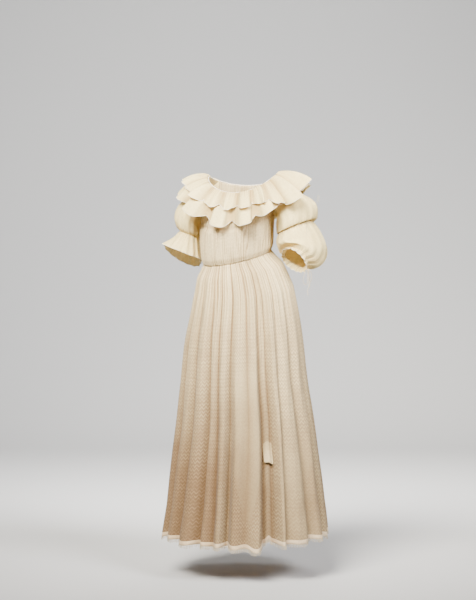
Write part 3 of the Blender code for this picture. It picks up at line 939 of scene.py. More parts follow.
@dataclass
class Skirt:
    """Front and back of the skirt, gathered into the waist seam."""

    rings: tuple[Ring, ...] = (
        Ring(0.00, 0.1180, 0.099, 0.089, -0.017),
        Ring(0.05, 0.1510, 0.127, 0.126, -0.006),
        Ring(0.13, 0.1760, 0.151, 0.158, 0.004),
        Ring(0.28, 0.2030, 0.176, 0.192, 0.003),
        Ring(0.43, 0.2190, 0.193, 0.216, 0.003),
        Ring(0.58, 0.2360, 0.211, 0.238, 0.008),
        Ring(0.73, 0.2550, 0.230, 0.260, 0.010),
        Ring(0.88, 0.2710, 0.247, 0.279, 0.011),
        Ring(1.00, 0.2860, 0.262, 0.294, 0.010),
    )
    folds: tuple[Fold, ...] = (
        Fold(-90, -90, -90, 0.026, 0.004, 0.000),
        Fold(-75, -73, -72, 0.030, 0.000, 0.004),
        Fold(-57, -56, -59, 0.022, 0.005, 0.000),
        Fold(-40, -37, -43, 0.030, 0.000, 0.003),
        Fold(-22, -17, -20, 0.036, 0.008, -0.003, 0.6),
        Fold(-10, -8, -8, 0.026, 0.004, -0.002, 0.9),
        Fold(3, 3, 2, 0.046, 0.000, 0.002, 1.0),
        Fold(18, 20, 16, 0.013, 0.002, 0.014, 0.5),
        Fold(31, 33, 32, 0.060, 0.056, -0.012, 0.2),
        Fold(37, 41, 40, 0.060, 0.000, -0.002, 0.6),
        Fold(51, 51, 48, 0.024, 0.003, 0.002, 0.3),
        Fold(69, 69, 73, 0.030, 0.000, 0.000, 0.3),
        Fold(90, 90, 90, 0.026, 0.004, 0.003),
        Fold(105, 106, 107, 0.036, 0.000, 0.000, 0.6),
        Fold(119, 121, 122, 0.026, 0.006, -0.002),
        Fold(134, 135, 135, 0.044, 0.000, 0.005, 0.9),
        Fold(149, 148, 151, 0.028, 0.003, 0.000),
        Fold(163, 165, 164, 0.040, 0.000, 0.004, 0.7),
        Fold(178, 179, 181, 0.050, 0.005, -0.003, 1.0),
        Fold(193, 192, 193, 0.030, 0.000, 0.002),
        Fold(208, 209, 210, 0.042, 0.004, 0.000, 0.8),
        Fold(224, 223, 223, 0.026, 0.000, 0.005),
        Fold(239, 240, 241, 0.038, 0.003, -0.002, 0.6),
        Fold(255, 255, 254, 0.030, 0.000, 0.002),
    )
    panel_folds: int = 12
    growth: float = 0.72
    trough_lift: float = 0.15
    fine_gathers: int = 4
    fine_depth: float = 0.0048
    pleats: int = 2
    pleat_depth: float = 0.0034
    crease_depth: float = 0.0045
    ripple_depth: float = 0.0022
    crease_end: float = 0.45
    plain_strip: float = 7.05
    recess_from: float = 7.85
    recess_to: float = 9.05
    cut: tuple[float, float] = (1.11, 0.95)
    columns_per_fold: int = 30
    rows: int = 130
    hem_rows: int = 2
    tab_foot: float = 0.728

    def fold(self, index: int) -> tuple[Fold, float]:
        """Gives the fold at any whole number, and the full turns that go with it."""
        count = len(self.folds)
        return self.folds[index % count], 360.0 * (index // count)

    def angle(self, index: int, at: float) -> float:
        """Gives a trough's angle at a height."""
        fold, turns = self.fold(index)
        return turns + curve_through([fold.waist, fold.mid, fold.hem], 2.0 * at)

    def gather(self, phase: float, at: float) -> float:
        """Gives the waist gathers' share of depth, from 0 on a ridge to 1 in a valley.

        Args:
            phase: Whole number in each trough.
            at: Height from the waist seam, 0, to the hem, 1.

        Returns:
            The share.
        """
        index = math.floor(phase)
        f = phase - index
        swing = 0.16 * wander(2.0, phase * 2.3 + at) * math.sin(math.pi * f) ** 2
        strong = 0.62 + 0.5 * wander(13.0, phase * 4.1 + at)
        return strong * (0.5 + 0.5 * math.cos(math.tau * (self.fine_gathers * f + swing * 5.0))) ** 1.4

    def crease(self, phase: float, width: float) -> float:
        """Gives the share of the sharp line in the nearest trough.

        Args:
            phase: Whole number in each trough.
            width: Width of the line, as a share of a fold.

        Returns:
            The share.
        """
        index = math.floor(phase)
        f = phase - index
        nearest = self.fold(index if f < 0.5 else index + 1)[0]
        return nearest.crease * bell(min(f, 1.0 - f), width)

    def shape(self, phase: float, at: float) -> tuple[float, float]:
        """Gives how far a point lies inside the outline and how much of a trough it is in.

        Args:
            phase: Whole number in each trough.
            at: Height from the waist seam, 0, to the hem, 1.

        Returns:
            The depth in metres at the hem's scale, and the trough's share.
        """
        index = math.floor(phase)
        f = phase - index
        row, after = self.fold(index)[0], self.fold(index + 1)[0]
        round_share = math.cos(math.pi * f) ** 2
        trough = round_share ** mix(1.0, 1.35, ease(at / 0.5))
        deep = mix(row.depth, after.depth, ease(f)) * trough + row.crest * (1.0 - trough)
        return deep, trough

    def point(self, phase: float, at: float) -> Vector:
        """Gives a point of the skirt.

        Args:
            phase: Whole number in each trough.
            at: Height from the waist seam, 0, to the hem, 1.

        Returns:
            The point.
        """
        index = math.floor(phase)
        f = phase - index
        degrees = mix(self.angle(index, at), self.angle(index + 1, at), f)
        deep, _ = self.shape(phase, at)
        grown = 0.02 + 0.98 * at**self.growth
        inner = math.sin(math.pi * f) ** 2
        merge = 0.26 + 0.24 * (0.5 + 0.5 * wander(index * 1.7, f * 3.0))
        fine = self.fine_depth * self.gather(phase, at) * (1.0 - ease(at / merge))
        swing = math.tau * (self.pleats * f + 0.12 * wander(index * 0.9, at * 2.0))
        pleat = self.pleat_depth * (0.5 + 0.5 * math.cos(swing)) * inner
        pleat *= ease(at / 0.10) * (1.0 - 0.75 * ease(at / 0.75))
        crease = self.crease_depth * self.crease(phase, 0.05)
        crease *= ease(at / 0.15) * (1.0 - 0.85 * ease((at - self.crease_end) / 0.35))
        ripple = self.ripple_depth * wander(index + 31.0, at * 5.0 + f * 3.0) * inner * ease(at / 0.2)
        place = ring_at(self.rings, at).point(degrees)
        round_share = math.cos(math.pi * f) ** 2
        hem = HEM_Z.at(degrees) + deep * self.trough_lift - self.fold(index)[0].fall * (1.0 - round_share)
        place.z = mix(waist_height(degrees) - 2.0 * SEAM_GAP, hem, at)
        return place - outward(degrees) * (deep * grown + fine + pleat + crease + ripple)

    def tone(self, phase: float, at: float) -> Triple:
        """Gives the cloth's age and stains with painted shade towards the hem, its density and its painted
        shade at a place.

        Args:
            phase: Whole number in each trough.
            at: Height from the waist seam, 0, to the hem, 1.

        Returns:
            The three values.
        """
        _, trough = self.shape(phase, at)
        # Painted shade along the troughs' creases, in the waist gathers' valleys and in the troughs.
        line = self.crease(phase, 0.06) * ease(at / 0.1)
        line *= 1.0 - 0.7 * ease((at - self.crease_end) / 0.35)
        fine = self.gather(phase, at) * (1.0 - ease(at / 0.42))
        # Painted shade darkens the skirt towards the hem, where less light falls. The cloth is also made
        # warmer and darker on the gown's right side than on its left, with stain patches. The plain strip and
        # the fold before it stay paler.
        warm = 1.0 - 0.40 * ease((phase - 6.0) / 2.6) + 0.4 * ease((phase - 20.5) / 3.5)
        warm -= 0.16 * bell(phase - self.plain_strip, 0.55) + 0.30 * bell(phase - 5.9, 0.55)
        stain = 0.5 + 0.5 * wander(61.0, phase * 0.9 + 3.0, 1.0) * wander(67.0, at * 4.0 + phase)
        cloudy = 0.08 * wander(math.floor(phase) * 0.83, at * 1.5 + 4.0)
        age = 0.03 + cloudy + 0.88 * warm * ease((at - 0.02) / 0.86)
        age += 0.05 * stain * ease((at - 0.3) / 0.4) + 0.10 * ease((at - 0.04) / 0.16)
        # Painted shade in the deep front fold, with a painted shadow just under the tab.
        recess_shade = ease((phase - self.recess_from) / 0.2) * (1.0 - ease((phase - self.recess_to) / 0.2))
        recess_shade *= ease((at - 0.30) / 0.22)
        under = recess_shade * bell(at - self.tab_foot, 0.010) * 0.5 * ease((at - self.tab_foot + 0.004) / 0.004)
        valley = (0.50 - 0.40 * ease((phase - 8.6) / 1.0) - 0.26 * bell(phase - 6.0, 0.6)) * trough**1.6
        deep = 0.42 * line + 1.20 * fine + valley
        deep += 0.34 * recess_shade + under
        return (min(1.0, max(0.0, age)), self.figure_at(phase, at), min(1.0, deep))

    def figure_at(self, phase: float, at: float) -> float:
        """Gives how clearly the woven figure shows at a place.

        Args:
            phase: Whole number in each trough.
            at: Height from the waist seam, 0, to the hem, 1.

        Returns:
            The figure's share, from 0 to 1.
        """
        width = mix(0.62, 0.10, ease((at - 0.70) / 0.22))
        strip = 1.0 - ease((abs(phase - self.plain_strip) - width) / 0.18)
        strip *= ease((at - 0.30) / 0.15) * (1.0 - ease((at - 0.88) / 0.05))
        side = ease((phase - 9.3) / 0.3) * (1.0 - ease((phase - 11.2) / 0.5)) * ease((at - 0.55) / 0.2)
        return (1.0 - 0.9 * strip) * (1.0 - 0.5 * side) * ease((at - 0.08) / 0.25)

    def panel(self, name: str, node: str, first: int, finishes: Finishes) -> bpy.types.Object:
        """Makes one panel, from side seam to side seam.

        Args:
            name: The piece's name.
            node: The solid that it stands for.
            first: Number of the fold that it starts at.
            finishes: The gown's finishes.

        Returns:
            The panel.
        """
        columns = self.panel_folds * self.columns_per_fold
        sheet = Sheet(name, columns, self.rows, self.cut)
        panel = sheet.build(
            lambda u, v: self.point(first + u * self.panel_folds, v),
            lambda u, v: self.tone(first + u * self.panel_folds, v),
            gown_axis,
            [finishes.figured, finishes.selvage],
            edge_rows=self.hem_rows,
        )
        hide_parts(node)
        return panel

    def build(self, finishes: Finishes) -> tuple[bpy.types.Object, bpy.types.Object]:
        """Makes both panels and gives them back.

        Args:
            finishes: The gown's finishes.

        Returns:
            The front and the back panel.
        """
        front = self.panel("skirt_front_cloth", "skirt_front", 0, finishes)
        back = self.panel("skirt_back_cloth", "skirt_back", self.panel_folds, finishes)
        return front, back


@dataclass
class HemFringe:
    """Ragged threads under the hem of one panel."""

    skirt: Skirt
    spacing: float = 0.0016
    longest: float = 0.0125
    shortest: float = 0.0060
    lean: float = 0.0016
    bend: float = 0.0007
    tuck: float = 0.0012
    radius: float = 0.00048

    def build(self, name: str, node: str, first: int, panel: bpy.types.Object, finishes: Finishes) -> None:
        """Args:
            name: The piece's name.
            node: The solid that it stands for.
            first: Number of the fold that it starts at.
            panel: The panel that it hangs from; not used.
            finishes: The gown's finishes.
        """
        draw = random.Random(name)
        count = round(self.skirt.cut[0] / self.spacing)
        lines = []
        for k in range(count):
            phase = first + self.skirt.panel_folds * (k + draw.uniform(0.2, 0.8)) / count
            root = self.skirt.point(phase, 1.0)
            clump = 0.5 + 0.5 * wander(3.0, phase * 9.0)
            length = mix(self.shortest, self.longest, max(0.0, min(1.0, clump * draw.uniform(0.6, 1.2))))
            lean = Vector((draw.uniform(-1, 1), draw.uniform(-1, 1), 0.0)) * self.lean
            tip = root + lean - up(length)
            middle = (root + tip) / 2.0 + Vector((draw.uniform(-1, 1), draw.uniform(-1, 1), 0.0)) * self.bend
            lines.append([root + up(self.tuck), middle, tip])
        fringe = cord_object(name, lines, self.radius, finishes.thread, sides=0)
        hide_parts(node)


@dataclass
class NeckRuffle:
    """Two tiers of plain muslin round the neckline, with rolled hems."""

    waves: int = 13
    turn: float = -1.0
    uneven: float = 3.0
    length: Around = Around(front=0.100, left=0.098, right=0.112, back=0.118)
    tilt: Around = Around(front=64.0, left=4.0, right=8.0, back=60.0)
    bend: Around = Around(front=0.560, left=0.130, right=0.130, back=0.460)
    wave: Around = Around(front=0.044, left=0.028, right=0.026, back=0.038)
    scallop: Around = Around(front=0.018, left=0.000, right=0.006, back=0.012)
    upper_waves: int = 19
    upper_turn: float = 4.0
    upper_uneven: float = 3.2
    upper_length: Around = Around(front=0.043, left=0.086, right=0.072, back=0.056)
    upper_wave: Around = Around(front=0.028, left=0.042, right=0.032, back=0.028)
    upper_scallop: Around = Around(front=0.010, left=0.000, right=0.004, back=0.008)
    stand_off: float = 0.0022
    stand_up: Around = Around(front=0.0004, left=0.0024, right=0.0024, back=0.0004)
    stand_out: Around = Around(front=0.0016, left=0.0006, right=0.0006, back=0.0016)
    root_gathers: int = 9
    root_depth: float = 0.0040
    droop: float = 0.020
    wing_droop: float = 0.018
    wing_at: float = 76.0
    wing_width: float = 34.0
    wing_length: float = 0.034
    wing_front: float = 62.0
    curl: float = 0.045
    lean: float = 0.20
    flute: Around = Around(front=0.012, left=0.007, right=0.009, back=0.012)
    notch: float = 0.50
    scallop_drop: float = 2.20
    upper_scallop_drop: float = 2.9
    casing_points: int = 480
    casing_gathers: float = 60.0
    casing_ripple: float = 0.0006
    casing_lift: float = 0.0009
    casing_radius: float = 0.0014
    columns_per_wave: int = 44
    lower_rows: int = 40
    upper_rows: int = 28
    lower_cut: tuple[float, float] = (1.50, 0.125)
    upper_cut: tuple[float, float] = (1.35, 0.080)

    def angle(self, wave: float, waves: int, turn: float, uneven: float) -> float:
        """Gives the angle of a wave. Whole numbers are troughs."""
        even = 360.0 * wave / waves
        return turn + even + uneven * math.sin(math.radians(3.0 * even + 40.0))

    def lower_angle(self, wave: float) -> float:
        """Gives the angle of a wave of the lower tier."""
        return self.angle(wave, self.waves, self.turn, self.uneven)

    @staticmethod
    def raised(point: Vector, degrees: float, slope: float, lift: float, hang: float = 0.0) -> Vector:
        """Gives a point that stands off sloping cloth.

        Args:
            point: Place on the cloth.
            degrees: Its angle round the neck.
            slope: The cloth's fall there in radians.
            lift: How far it stands off.
            hang: How far it sinks again.

        Returns:
            The raised point.
        """
        return point + outward(degrees) * (lift * math.sin(slope)) + up(lift * math.cos(slope) - hang)

    def upper_at(self, degrees: float) -> float:
        """Gives the upper tier's wave at an angle.

        Args:
            degrees: The angle.

        Returns:
            The wave.
        """
        wave = self.upper_waves * (degrees - self.upper_turn) / 360.0
        for _ in range(12):
            missed = degrees - self.angle(wave, self.upper_waves, self.upper_turn, self.upper_uneven)
            wave += self.upper_waves * missed / 360.0
        return wave

    @staticmethod
    def share(wave: float) -> float:
        """Gives 0 in a trough and about 1 on a ridge, with ridges of unlike heights."""
        return (0.5 - 0.5 * math.cos(math.tau * wave)) * (1.0 + 0.25 * math.sin(2.4 * math.floor(wave)))

    @staticmethod
    def lower_flute(wave: float) -> float:
        """Gives the share of the lower tier's small flutes, 1 on a flute's ridge."""
        swing = 2.0 * wave + 0.30 * wander(27.0, wave * 1.3)
        return (0.5 - 0.5 * math.cos(math.tau * swing)) * (0.65 + 0.5 * wander(29.0, wave * 1.7)) * 0.6

    def upper_flute(self, wave: float) -> float:
        """Gives the share of the upper tier's small flutes at a wave of the lower tier.

        Args:
            wave: Place round the neck, counted in waves of the lower tier.

        Returns:
            The share.
        """
        upper = self.upper_at(self.lower_angle(wave))
        swing = 2.0 * upper + 0.35 * wander(41.0, upper * 1.2)
        return (0.5 - 0.5 * math.cos(math.tau * swing)) * (0.75 + 0.5 * wander(53.0, upper * 1.7))

    def upper_share(self, wave: float) -> float:
        """Gives the upper tier's ridge share at a wave of the lower tier."""
        return min(1.0, self.share(self.upper_at(self.lower_angle(wave))))

    def bent(self, wave: float, down: float) -> float:
        """Gives the wave at which a point stands, as each flute curls over at its flanks and leans.

        Args:
            wave: Place round the neck, counted in waves.
            down: Place from the neckline, 0, to the free edge, 1.

        Returns:
            The shifted place.
        """
        index = math.floor(wave)
        curl = self.curl * (1.0 + 0.5 * wander(index * 1.3, 2.0)) * math.sin(2.0 * math.tau * wave)
        lean = self.lean * wander(index * 0.77 + 5.0, 1.0) * math.sin(math.pi * (wave - index)) ** 2
        return wave + (curl + lean) * ease(down / 0.8)

    def lower(self, wave: float, down: float) -> Vector:
        """Gives a point of the lower tier.

        Args:
            wave: Place round the neck, counted in waves.
            down: Place from the neckline, 0, to the free edge, 1.

        Returns:
            The point.
        """
        degrees = self.lower_angle(self.bent(wave, down))
        tilt = math.radians(self.tilt.at(degrees))
        bend = self.bend.at(degrees)
        end = tilt + self.length.at(degrees) * down / bend
        out = bend * (math.sin(end) - math.sin(tilt))
        fall = bend * (math.cos(tilt) - math.cos(end))
        ridge = self.share(wave)
        lift = self.wave.at(degrees) * down**0.8 * ridge
        hang = self.scallop.at(degrees) * self.scallop_drop * down**1.5 * ridge**self.notch
        hang += self.droop * bell(degrees - self.wing_at, self.wing_width) * down**1.3
        root = NECK.point(degrees)
        root.z = NECK_Z.at(degrees) + self.stand_up.at(degrees)
        away = out + lift * math.sin(end) + self.stand_out.at(degrees)
        return root + outward(degrees) * away + up(lift * math.cos(end) - fall - hang)

    def slope(self, degrees: float, reach: float) -> float:
        """Gives the cloth's fall in radians at a distance from the neckline."""
        return math.radians(self.tilt.at(degrees)) + reach / self.bend.at(degrees)

    def gathered(self, wave: float, down: float, fade: float) -> float:
        """Gives the height of the fine gathers near the neckline.

        Args:
            wave: Place round the neck, counted in waves.
            down: Place from the neckline, 0, to the free edge, 1.
            fade: Place down at which the gathers end.

        Returns:
            The height.
        """
        keep = math.sin(math.pi * wave / self.waves) ** 0.5
        swing = 1.3 * keep * wander(17.0, wave * 1.9 + 0.4 * down)
        strong = 0.65 + 0.5 * keep * wander(19.0, wave * 4.3)
        ripple = 1.0 - strong * (0.5 - 0.5 * math.cos(math.tau * (self.root_gathers * wave + swing)))
        reach = fade * (0.75 + 0.4 * keep * wander(23.0, wave * 3.1))
        return self.root_depth * ripple * min(1.0, down / 0.04) * (1.0 - ease(down / reach))

    def lower_cloth(self, wave: float, down: float) -> Vector:
        """Gives a point of the lower tier with its fine gathers.

        Args:
            wave: Place round the neck, counted in waves.
            down: Place from the neckline, 0, to the free edge, 1.

        Returns:
            The point.
        """
        degrees = self.lower_angle(wave)
        slope = self.slope(degrees, self.length.at(degrees) * down)
        lift = self.gathered(wave, down, 0.5)
        lift += self.flute.at(degrees) * self.lower_flute(wave) * down
        return self.raised(self.lower(wave, down), degrees, slope, lift)

    def upper_cloth(self, wave: float, down: float) -> Vector:
        """Gives a point of the upper tier, which lies on the lower tier's points moved out.

        Args:
            wave: Place round the neck, counted in waves.
            down: Place from the neckline, 0, to the free edge, 1.

        Returns:
            The point.
        """
        degrees = self.lower_angle(wave)
        ridge = self.share(self.upper_at(degrees))
        length = self.upper_length.at(degrees) + self.wing_length * bell(degrees - self.wing_front, 16.0)
        below = length / self.length.at(degrees) * down
        slope = self.slope(degrees, length * down)
        lift = self.stand_off * (1.0 + down) + self.upper_wave.at(degrees) * down**0.8 * ridge
        lift += self.gathered(wave, down, 0.7)
        flute = self.upper_flute(wave)
        lift += self.flute.at(degrees) * flute * down**0.7
        drop = self.upper_scallop.at(degrees) * self.upper_scallop_drop
        hang = drop * down**1.5 * max(ridge, 0.0) ** self.notch
        hang += self.wing_droop * bell(degrees - self.wing_at, self.wing_width) * down * ridge
        hang += 0.004 * flute * down
        return self.raised(self.lower(wave, below), degrees, slope, lift, hang)

    def tier(
        self,
        name: str,
        node: str,
        point: Place,
        ridge: Callable[[float], float],
        flute: Callable[[float], float],
        rows: int,
        cut: tuple[float, float],
        rests: str,
        finishes: Finishes,
    ) -> None:
        """Makes one tier with its rolled hem.

        Args:
            name: The piece's name.
            node: The solid that it stands for.
            point: Gives the cloth's point at a wave and a place down.
            ridge: Gives the ridge's share at a wave.
            flute: Gives the small flutes' share at a wave.
            rows: How many rows the cloth has.
            cut: Its flat size.
            rests: Name of the piece that it lies on; not used.
            finishes: The gown's finishes.
        """
        columns = self.waves * self.columns_per_wave
        sheet = Sheet(name, columns, rows, cut, closed=True)

        def tone(u: float, v: float) -> Triple:
            """Gives the tier's age, density and shade at a place."""
            wave = u * self.waves
            # Painted shade in the gathers near the neckline, along the neckline and in the troughs of the
            # waves and flutes.
            ripple = self.gathered(wave, 0.04, 9.0) / self.root_depth
            deep = 0.85 * (1.0 - ripple) * (1.0 - ease(v / 0.8)) + 0.12 * bell(v, 0.06)
            deep += 0.70 * max(0.0, 1.0 - ridge(wave)) ** 2 + 0.40 * max(0.0, 0.5 - flute(wave))
            return (max(0.0, 0.12 + 0.15 * wander(8.0, u * 22.0)), 0.4 + 0.6 * v, min(1.0, deep))

        tier = sheet.build(
            lambda u, v: point(u * self.waves, v),
            tone,
            lambda spot: Vector((spot.x * 0.5, spot.y * 0.5, spot.z - 0.2)),
            [finishes.sheer],
        )
        edge = [point(k * self.waves / columns, 1.0) for k in range(columns)]
        hem = cord_object(name.replace("_cloth", "_hem"), [edge], HEM_RADIUS, finishes.rolled, closed=True)
        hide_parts(node)

    def casing(self, finishes: Finishes) -> None:
        """Makes the narrow gathered casing of the neck drawstring.

        Args:
            finishes: The gown's finishes.
        """
        points = []
        for k in range(self.casing_points):
            degrees = 360.0 * k / self.casing_points
            spot = NECK.point(degrees) + outward(degrees) * self.stand_out.at(degrees) * 0.3
            spot.z = NECK_Z.at(degrees) + self.stand_up.at(degrees) + self.casing_lift
            ripple = self.casing_ripple * math.cos(math.radians(degrees * self.casing_gathers))
            points.append(spot + outward(degrees) * ripple)
        casing = cord_object(
            "neck_casing", [points], self.casing_radius, finishes.rolled, closed=True, sides=2
        )

    def build(self, finishes: Finishes) -> None:
        """Makes both tiers and the casing."""
        self.tier(
            "neck_ruffle_lower_cloth", "neck_ruffle_lower", self.lower_cloth, self.share,
            self.lower_flute, self.lower_rows, self.lower_cut, "bodice_front_cloth", finishes,
        )
        self.tier(
            "neck_ruffle_upper_cloth", "neck_ruffle_upper", self.upper_cloth, self.upper_share,
            self.upper_flute, self.upper_rows, self.upper_cut, "neck_ruffle_lower_cloth", finishes,
        )
        self.casing(finishes)


@dataclass(frozen=True)
class Section:
    """One section of a sleeve: points next to the bodice, outside, in front and behind, and its gathers."""

    inner: Triple
    outer: Triple
    front: Triple
    back: Triple
    gather: float


@dataclass
class Sleeve:
    """Elbow sleeve that is drawn in halfway down, between an upper puff and a lower one or a flare."""

    name: str
    node: str
    side: Side
    sections: tuple[Section, ...]
    drawn_at: tuple[float, ...]
    cut: tuple[float, float]
    bodice: Bodice
    edge_columns: int = 64
    top_columns: int = 48
    rows_per_section: int = 8
    gathers: int = 16
    gather_depth: float = 0.0026
    fine_gathers: int = 46
    fine_depth: float = 0.0016
    groove: float = 0.0042
    groove_width: float = 0.22
    drawn_width: float = 1.5
    coarse_share: float = 0.7
    puff: float = 0.0030
    step_out: float = 0.008
    step_down: float = 0.006

    def armhole(self) -> list[Vector]:
        """Gives the armhole seam, from the underarm up the front, over the shoulder and down the back."""
        sign = self.side.value
        foot = self.bodice.armhole_foot
        steps = [foot + (1.0 - foot) * k / self.edge_columns for k in range(self.edge_columns + 1)]
        front = [self.bodice.point(0.0, sign, at) for at in steps]
        back = [self.bodice.point(180.0, -sign, at) for at in steps]
        strap = self.bodice.strap
        top = []
        for k in range(1, self.top_columns):
            degrees = mix(strap, 180.0 - strap, k / self.top_columns)
            top.append(self.bodice.base(sign * degrees, 1.0))
        return front + top + back[:0:-1]

    def section_loop(self, section: Section, count: int) -> list[Vector]:
        """Gives the points of one section in the armhole's order.

        Args:
            section: The section.
            count: How many points.

        Returns:
            The points.
        """
        corners = (section.inner, section.outer, section.front, section.back)
        inner, outer, front, back = (Vector(corner) for corner in corners)
        centre = (inner + outer) / 2.0
        points = []
        for k in range(count):
            angle = math.tau * k / count
            toward = front - centre if math.sin(angle) > 0.0 else centre - back
            points.append(centre + (inner - centre) * math.cos(angle) + toward * math.sin(angle))
        return points

    def rings(self) -> list[list[Vector]]:
        """Gives all rings: two at the armhole seam, then the sections."""
        seam = self.armhole()
        sign = self.side.value
        first = [point + Vector((sign * 2.0 * SEAM_GAP, 0.0, 0.0)) for point in seam]
        low, high = min(point.z for point in first), max(point.z for point in first)
        second = []
        for point in first:
            drop = self.step_down * ease((point.z - low) / (high - low))
            second.append(point + Vector((sign * self.step_out, 0.0, -drop)))
        return [first, second] + [self.section_loop(section, len(seam)) for section in self.sections]

    def build(self, finishes: Finishes) -> None:
        """Makes the sleeve with its rolled hem.

        Args:
            finishes: The gown's finishes.
        """
        rings = self.rings()
        count = len(rings[0])
        last = len(rings) - 1
        lines = [[ring[k] for ring in rings] for k in range(count)]
        centres = [sum(ring, Vector()) / count for ring in rings]
        strengths = [0.0, 0.3] + [section.gather for section in self.sections]

        def drawn(at: float) -> float:
            """Gives how near a ring is to a line that is drawn in."""
            near = [bell(at - line, self.drawn_width) for line in self.drawn_at]
            return max(near + [bell(at, 1.4)])

        def ripple(u: float, at: float) -> float:
            """Gives the fine gathers' share of depth, from 0 on a ridge to 1 in a valley."""
            swing = 0.4 * wander(self.side.value + 4.0, u * 14.0 + at * 0.5)
            turn = self.fine_gathers * u + swing * (1.0 - bell(u, 0.02))
            return (0.5 + 0.5 * math.cos(math.tau * turn)) ** 1.3

        def place(u: float, v: float) -> Vector:
            """Gives a point of the cloth, round the sleeve and down it."""
            at = v * last
            point = curve_through(lines[round(u * count) % count], at)
            away = (point - curve_through(centres, at)).normalized()
            coarse = self.gather_depth * curve_through(strengths, at) * math.cos(math.tau * self.gathers * u)
            soft = min(1.0, at / 1.2)
            fine = self.fine_depth * drawn(at) * ripple(u, at) * soft
            groove = sum(self.groove * bell(at - line, self.groove_width) for line in self.drawn_at)
            puff = self.puff * wander(self.side.value * 3.0 + 20.0, u * 9.0 + at * 0.6)
            puff *= soft * (1.0 - drawn(at))
            return point + away * (self.coarse_share * coarse * soft - fine - groove + puff)

        def tone(u: float, v: float) -> Triple:
            """Gives the sleeve's age, density and shade at a place."""
            at = v * last
            # Painted shade in the gathers' valleys near the drawn-in lines.
            shade = 0.50 * drawn(at) * ripple(u, at)
            return (0.2 + 0.2 * wander(6.0, u * 7.0 + at * 0.4), 0.4, min(1.0, shade))

        sheet = Sheet(self.name, count, last * self.rows_per_section, self.cut, closed=True)
        sleeve = sheet.build(
            place,
            tone,
            lambda spot: min(centres, key=lambda centre: (centre - spot).length),
            [finishes.sheer],
        )
        edge = [place(k / count, 1.0) for k in range(count)]
        hem_name = self.name.replace("_cloth", "_hem")
        hem = cord_object(hem_name, [edge], HEM_RADIUS, finishes.rolled, closed=True)
        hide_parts(self.node)


LEFT_SECTIONS = (
    Section(
        (0.131, 0.004, -0.148), (0.198, 0.004, -0.054),
        (0.160, -0.062, -0.094), (0.160, 0.068, -0.096), 0.4,
    ),
    Section(
        (0.129, 0.005, -0.165), (0.244, 0.006, -0.082),
        (0.180, -0.073, -0.120), (0.182, 0.080, -0.120), 0.5,
    ),
    Section(
        (0.128, 0.005, -0.179), (0.262, 0.006, -0.110),
        (0.190, -0.076, -0.145), (0.192, 0.084, -0.145), 0.5,
    ),
    Section(
        (0.129, 0.005, -0.199), (0.259, 0.006, -0.147),
        (0.190, -0.073, -0.178), (0.192, 0.080, -0.174), 0.8,
    ),
    Section(
        (0.137, 0.005, -0.193), (0.232, 0.006, -0.147),
        (0.187, -0.052, -0.171), (0.188, 0.060, -0.170), 1.1,
    ),
    Section(
        (0.130, 0.005, -0.205), (0.252, 0.010, -0.164),
        (0.190, -0.065, -0.184), (0.194, 0.073, -0.186), 0.8,
    ),
    Section(
        (0.128, 0.004, -0.225), (0.276, 0.020, -0.204),
        (0.196, -0.074, -0.205), (0.206, 0.083, -0.222), 0.5,
    ),
    Section(
        (0.129, -0.002, -0.246), (0.290, 0.024, -0.248),
        (0.201, -0.077, -0.222), (0.218, 0.082, -0.258), 0.5,
    ),
    Section(
        (0.137, -0.010, -0.262), (0.284, 0.016, -0.284),
        (0.214, -0.083, -0.232), (0.214, 0.064, -0.291), 0.6,
    ),
    Section(
        (0.150, -0.019, -0.267), (0.267, -0.010, -0.306),
        (0.227, -0.077, -0.240), (0.204, 0.040, -0.308), 0.8,
    ),
    Section(
        (0.1565, -0.0275, -0.264), (0.243, -0.035, -0.309),
        (0.220, -0.073, -0.251), (0.186, 0.008, -0.307), 0.8,
    ),
    Section(
        (0.1515, -0.0375, -0.265), (0.240, -0.0455, -0.319),
        (0.213, -0.083, -0.2585), (0.174, 0.001, -0.317), 1.2,
    ),
)
RIGHT_SECTIONS = (
    Section(
        (-0.153, 0.004, -0.168), (-0.188, 0.004, -0.060),
        (-0.166, -0.061, -0.108), (-0.166, 0.066, -0.108), 0.4,
    ),
    Section(
        (-0.152, 0.005, -0.182), (-0.226, 0.006, -0.096),
        (-0.182, -0.068, -0.134), (-0.184, 0.074, -0.134), 0.5,
    ),
    Section(
        (-0.151, 0.006, -0.192), (-0.242, 0.008, -0.134),
        (-0.190, -0.067, -0.160), (-0.192, 0.074, -0.161), 0.6,
    ),
    Section(
        (-0.153, 0.006, -0.201), (-0.237, 0.010, -0.168),
        (-0.190, -0.059, -0.181), (-0.192, 0.067, -0.183), 0.8,
    ),
    Section(
        (-0.157, 0.006, -0.208), (-0.226, 0.010, -0.183),
        (-0.190, -0.048, -0.193), (-0.192, 0.056, -0.195), 1.0,
    ),
    Section(
        (-0.153, 0.006, -0.221), (-0.238, 0.010, -0.199),
        (-0.194, -0.054, -0.208), (-0.200, 0.062, -0.214), 0.8,
    ),
    Section(
        (-0.151, 0.006, -0.248), (-0.262, 0.006, -0.215),
        (-0.200, -0.062, -0.230), (-0.212, 0.066, -0.250), 0.9,
    ),
    Section(
        (-0.151, 0.006, -0.280), (-0.288, 0.004, -0.228),
        (-0.208, -0.068, -0.252), (-0.224, 0.068, -0.296), 1.4,
    ),
)


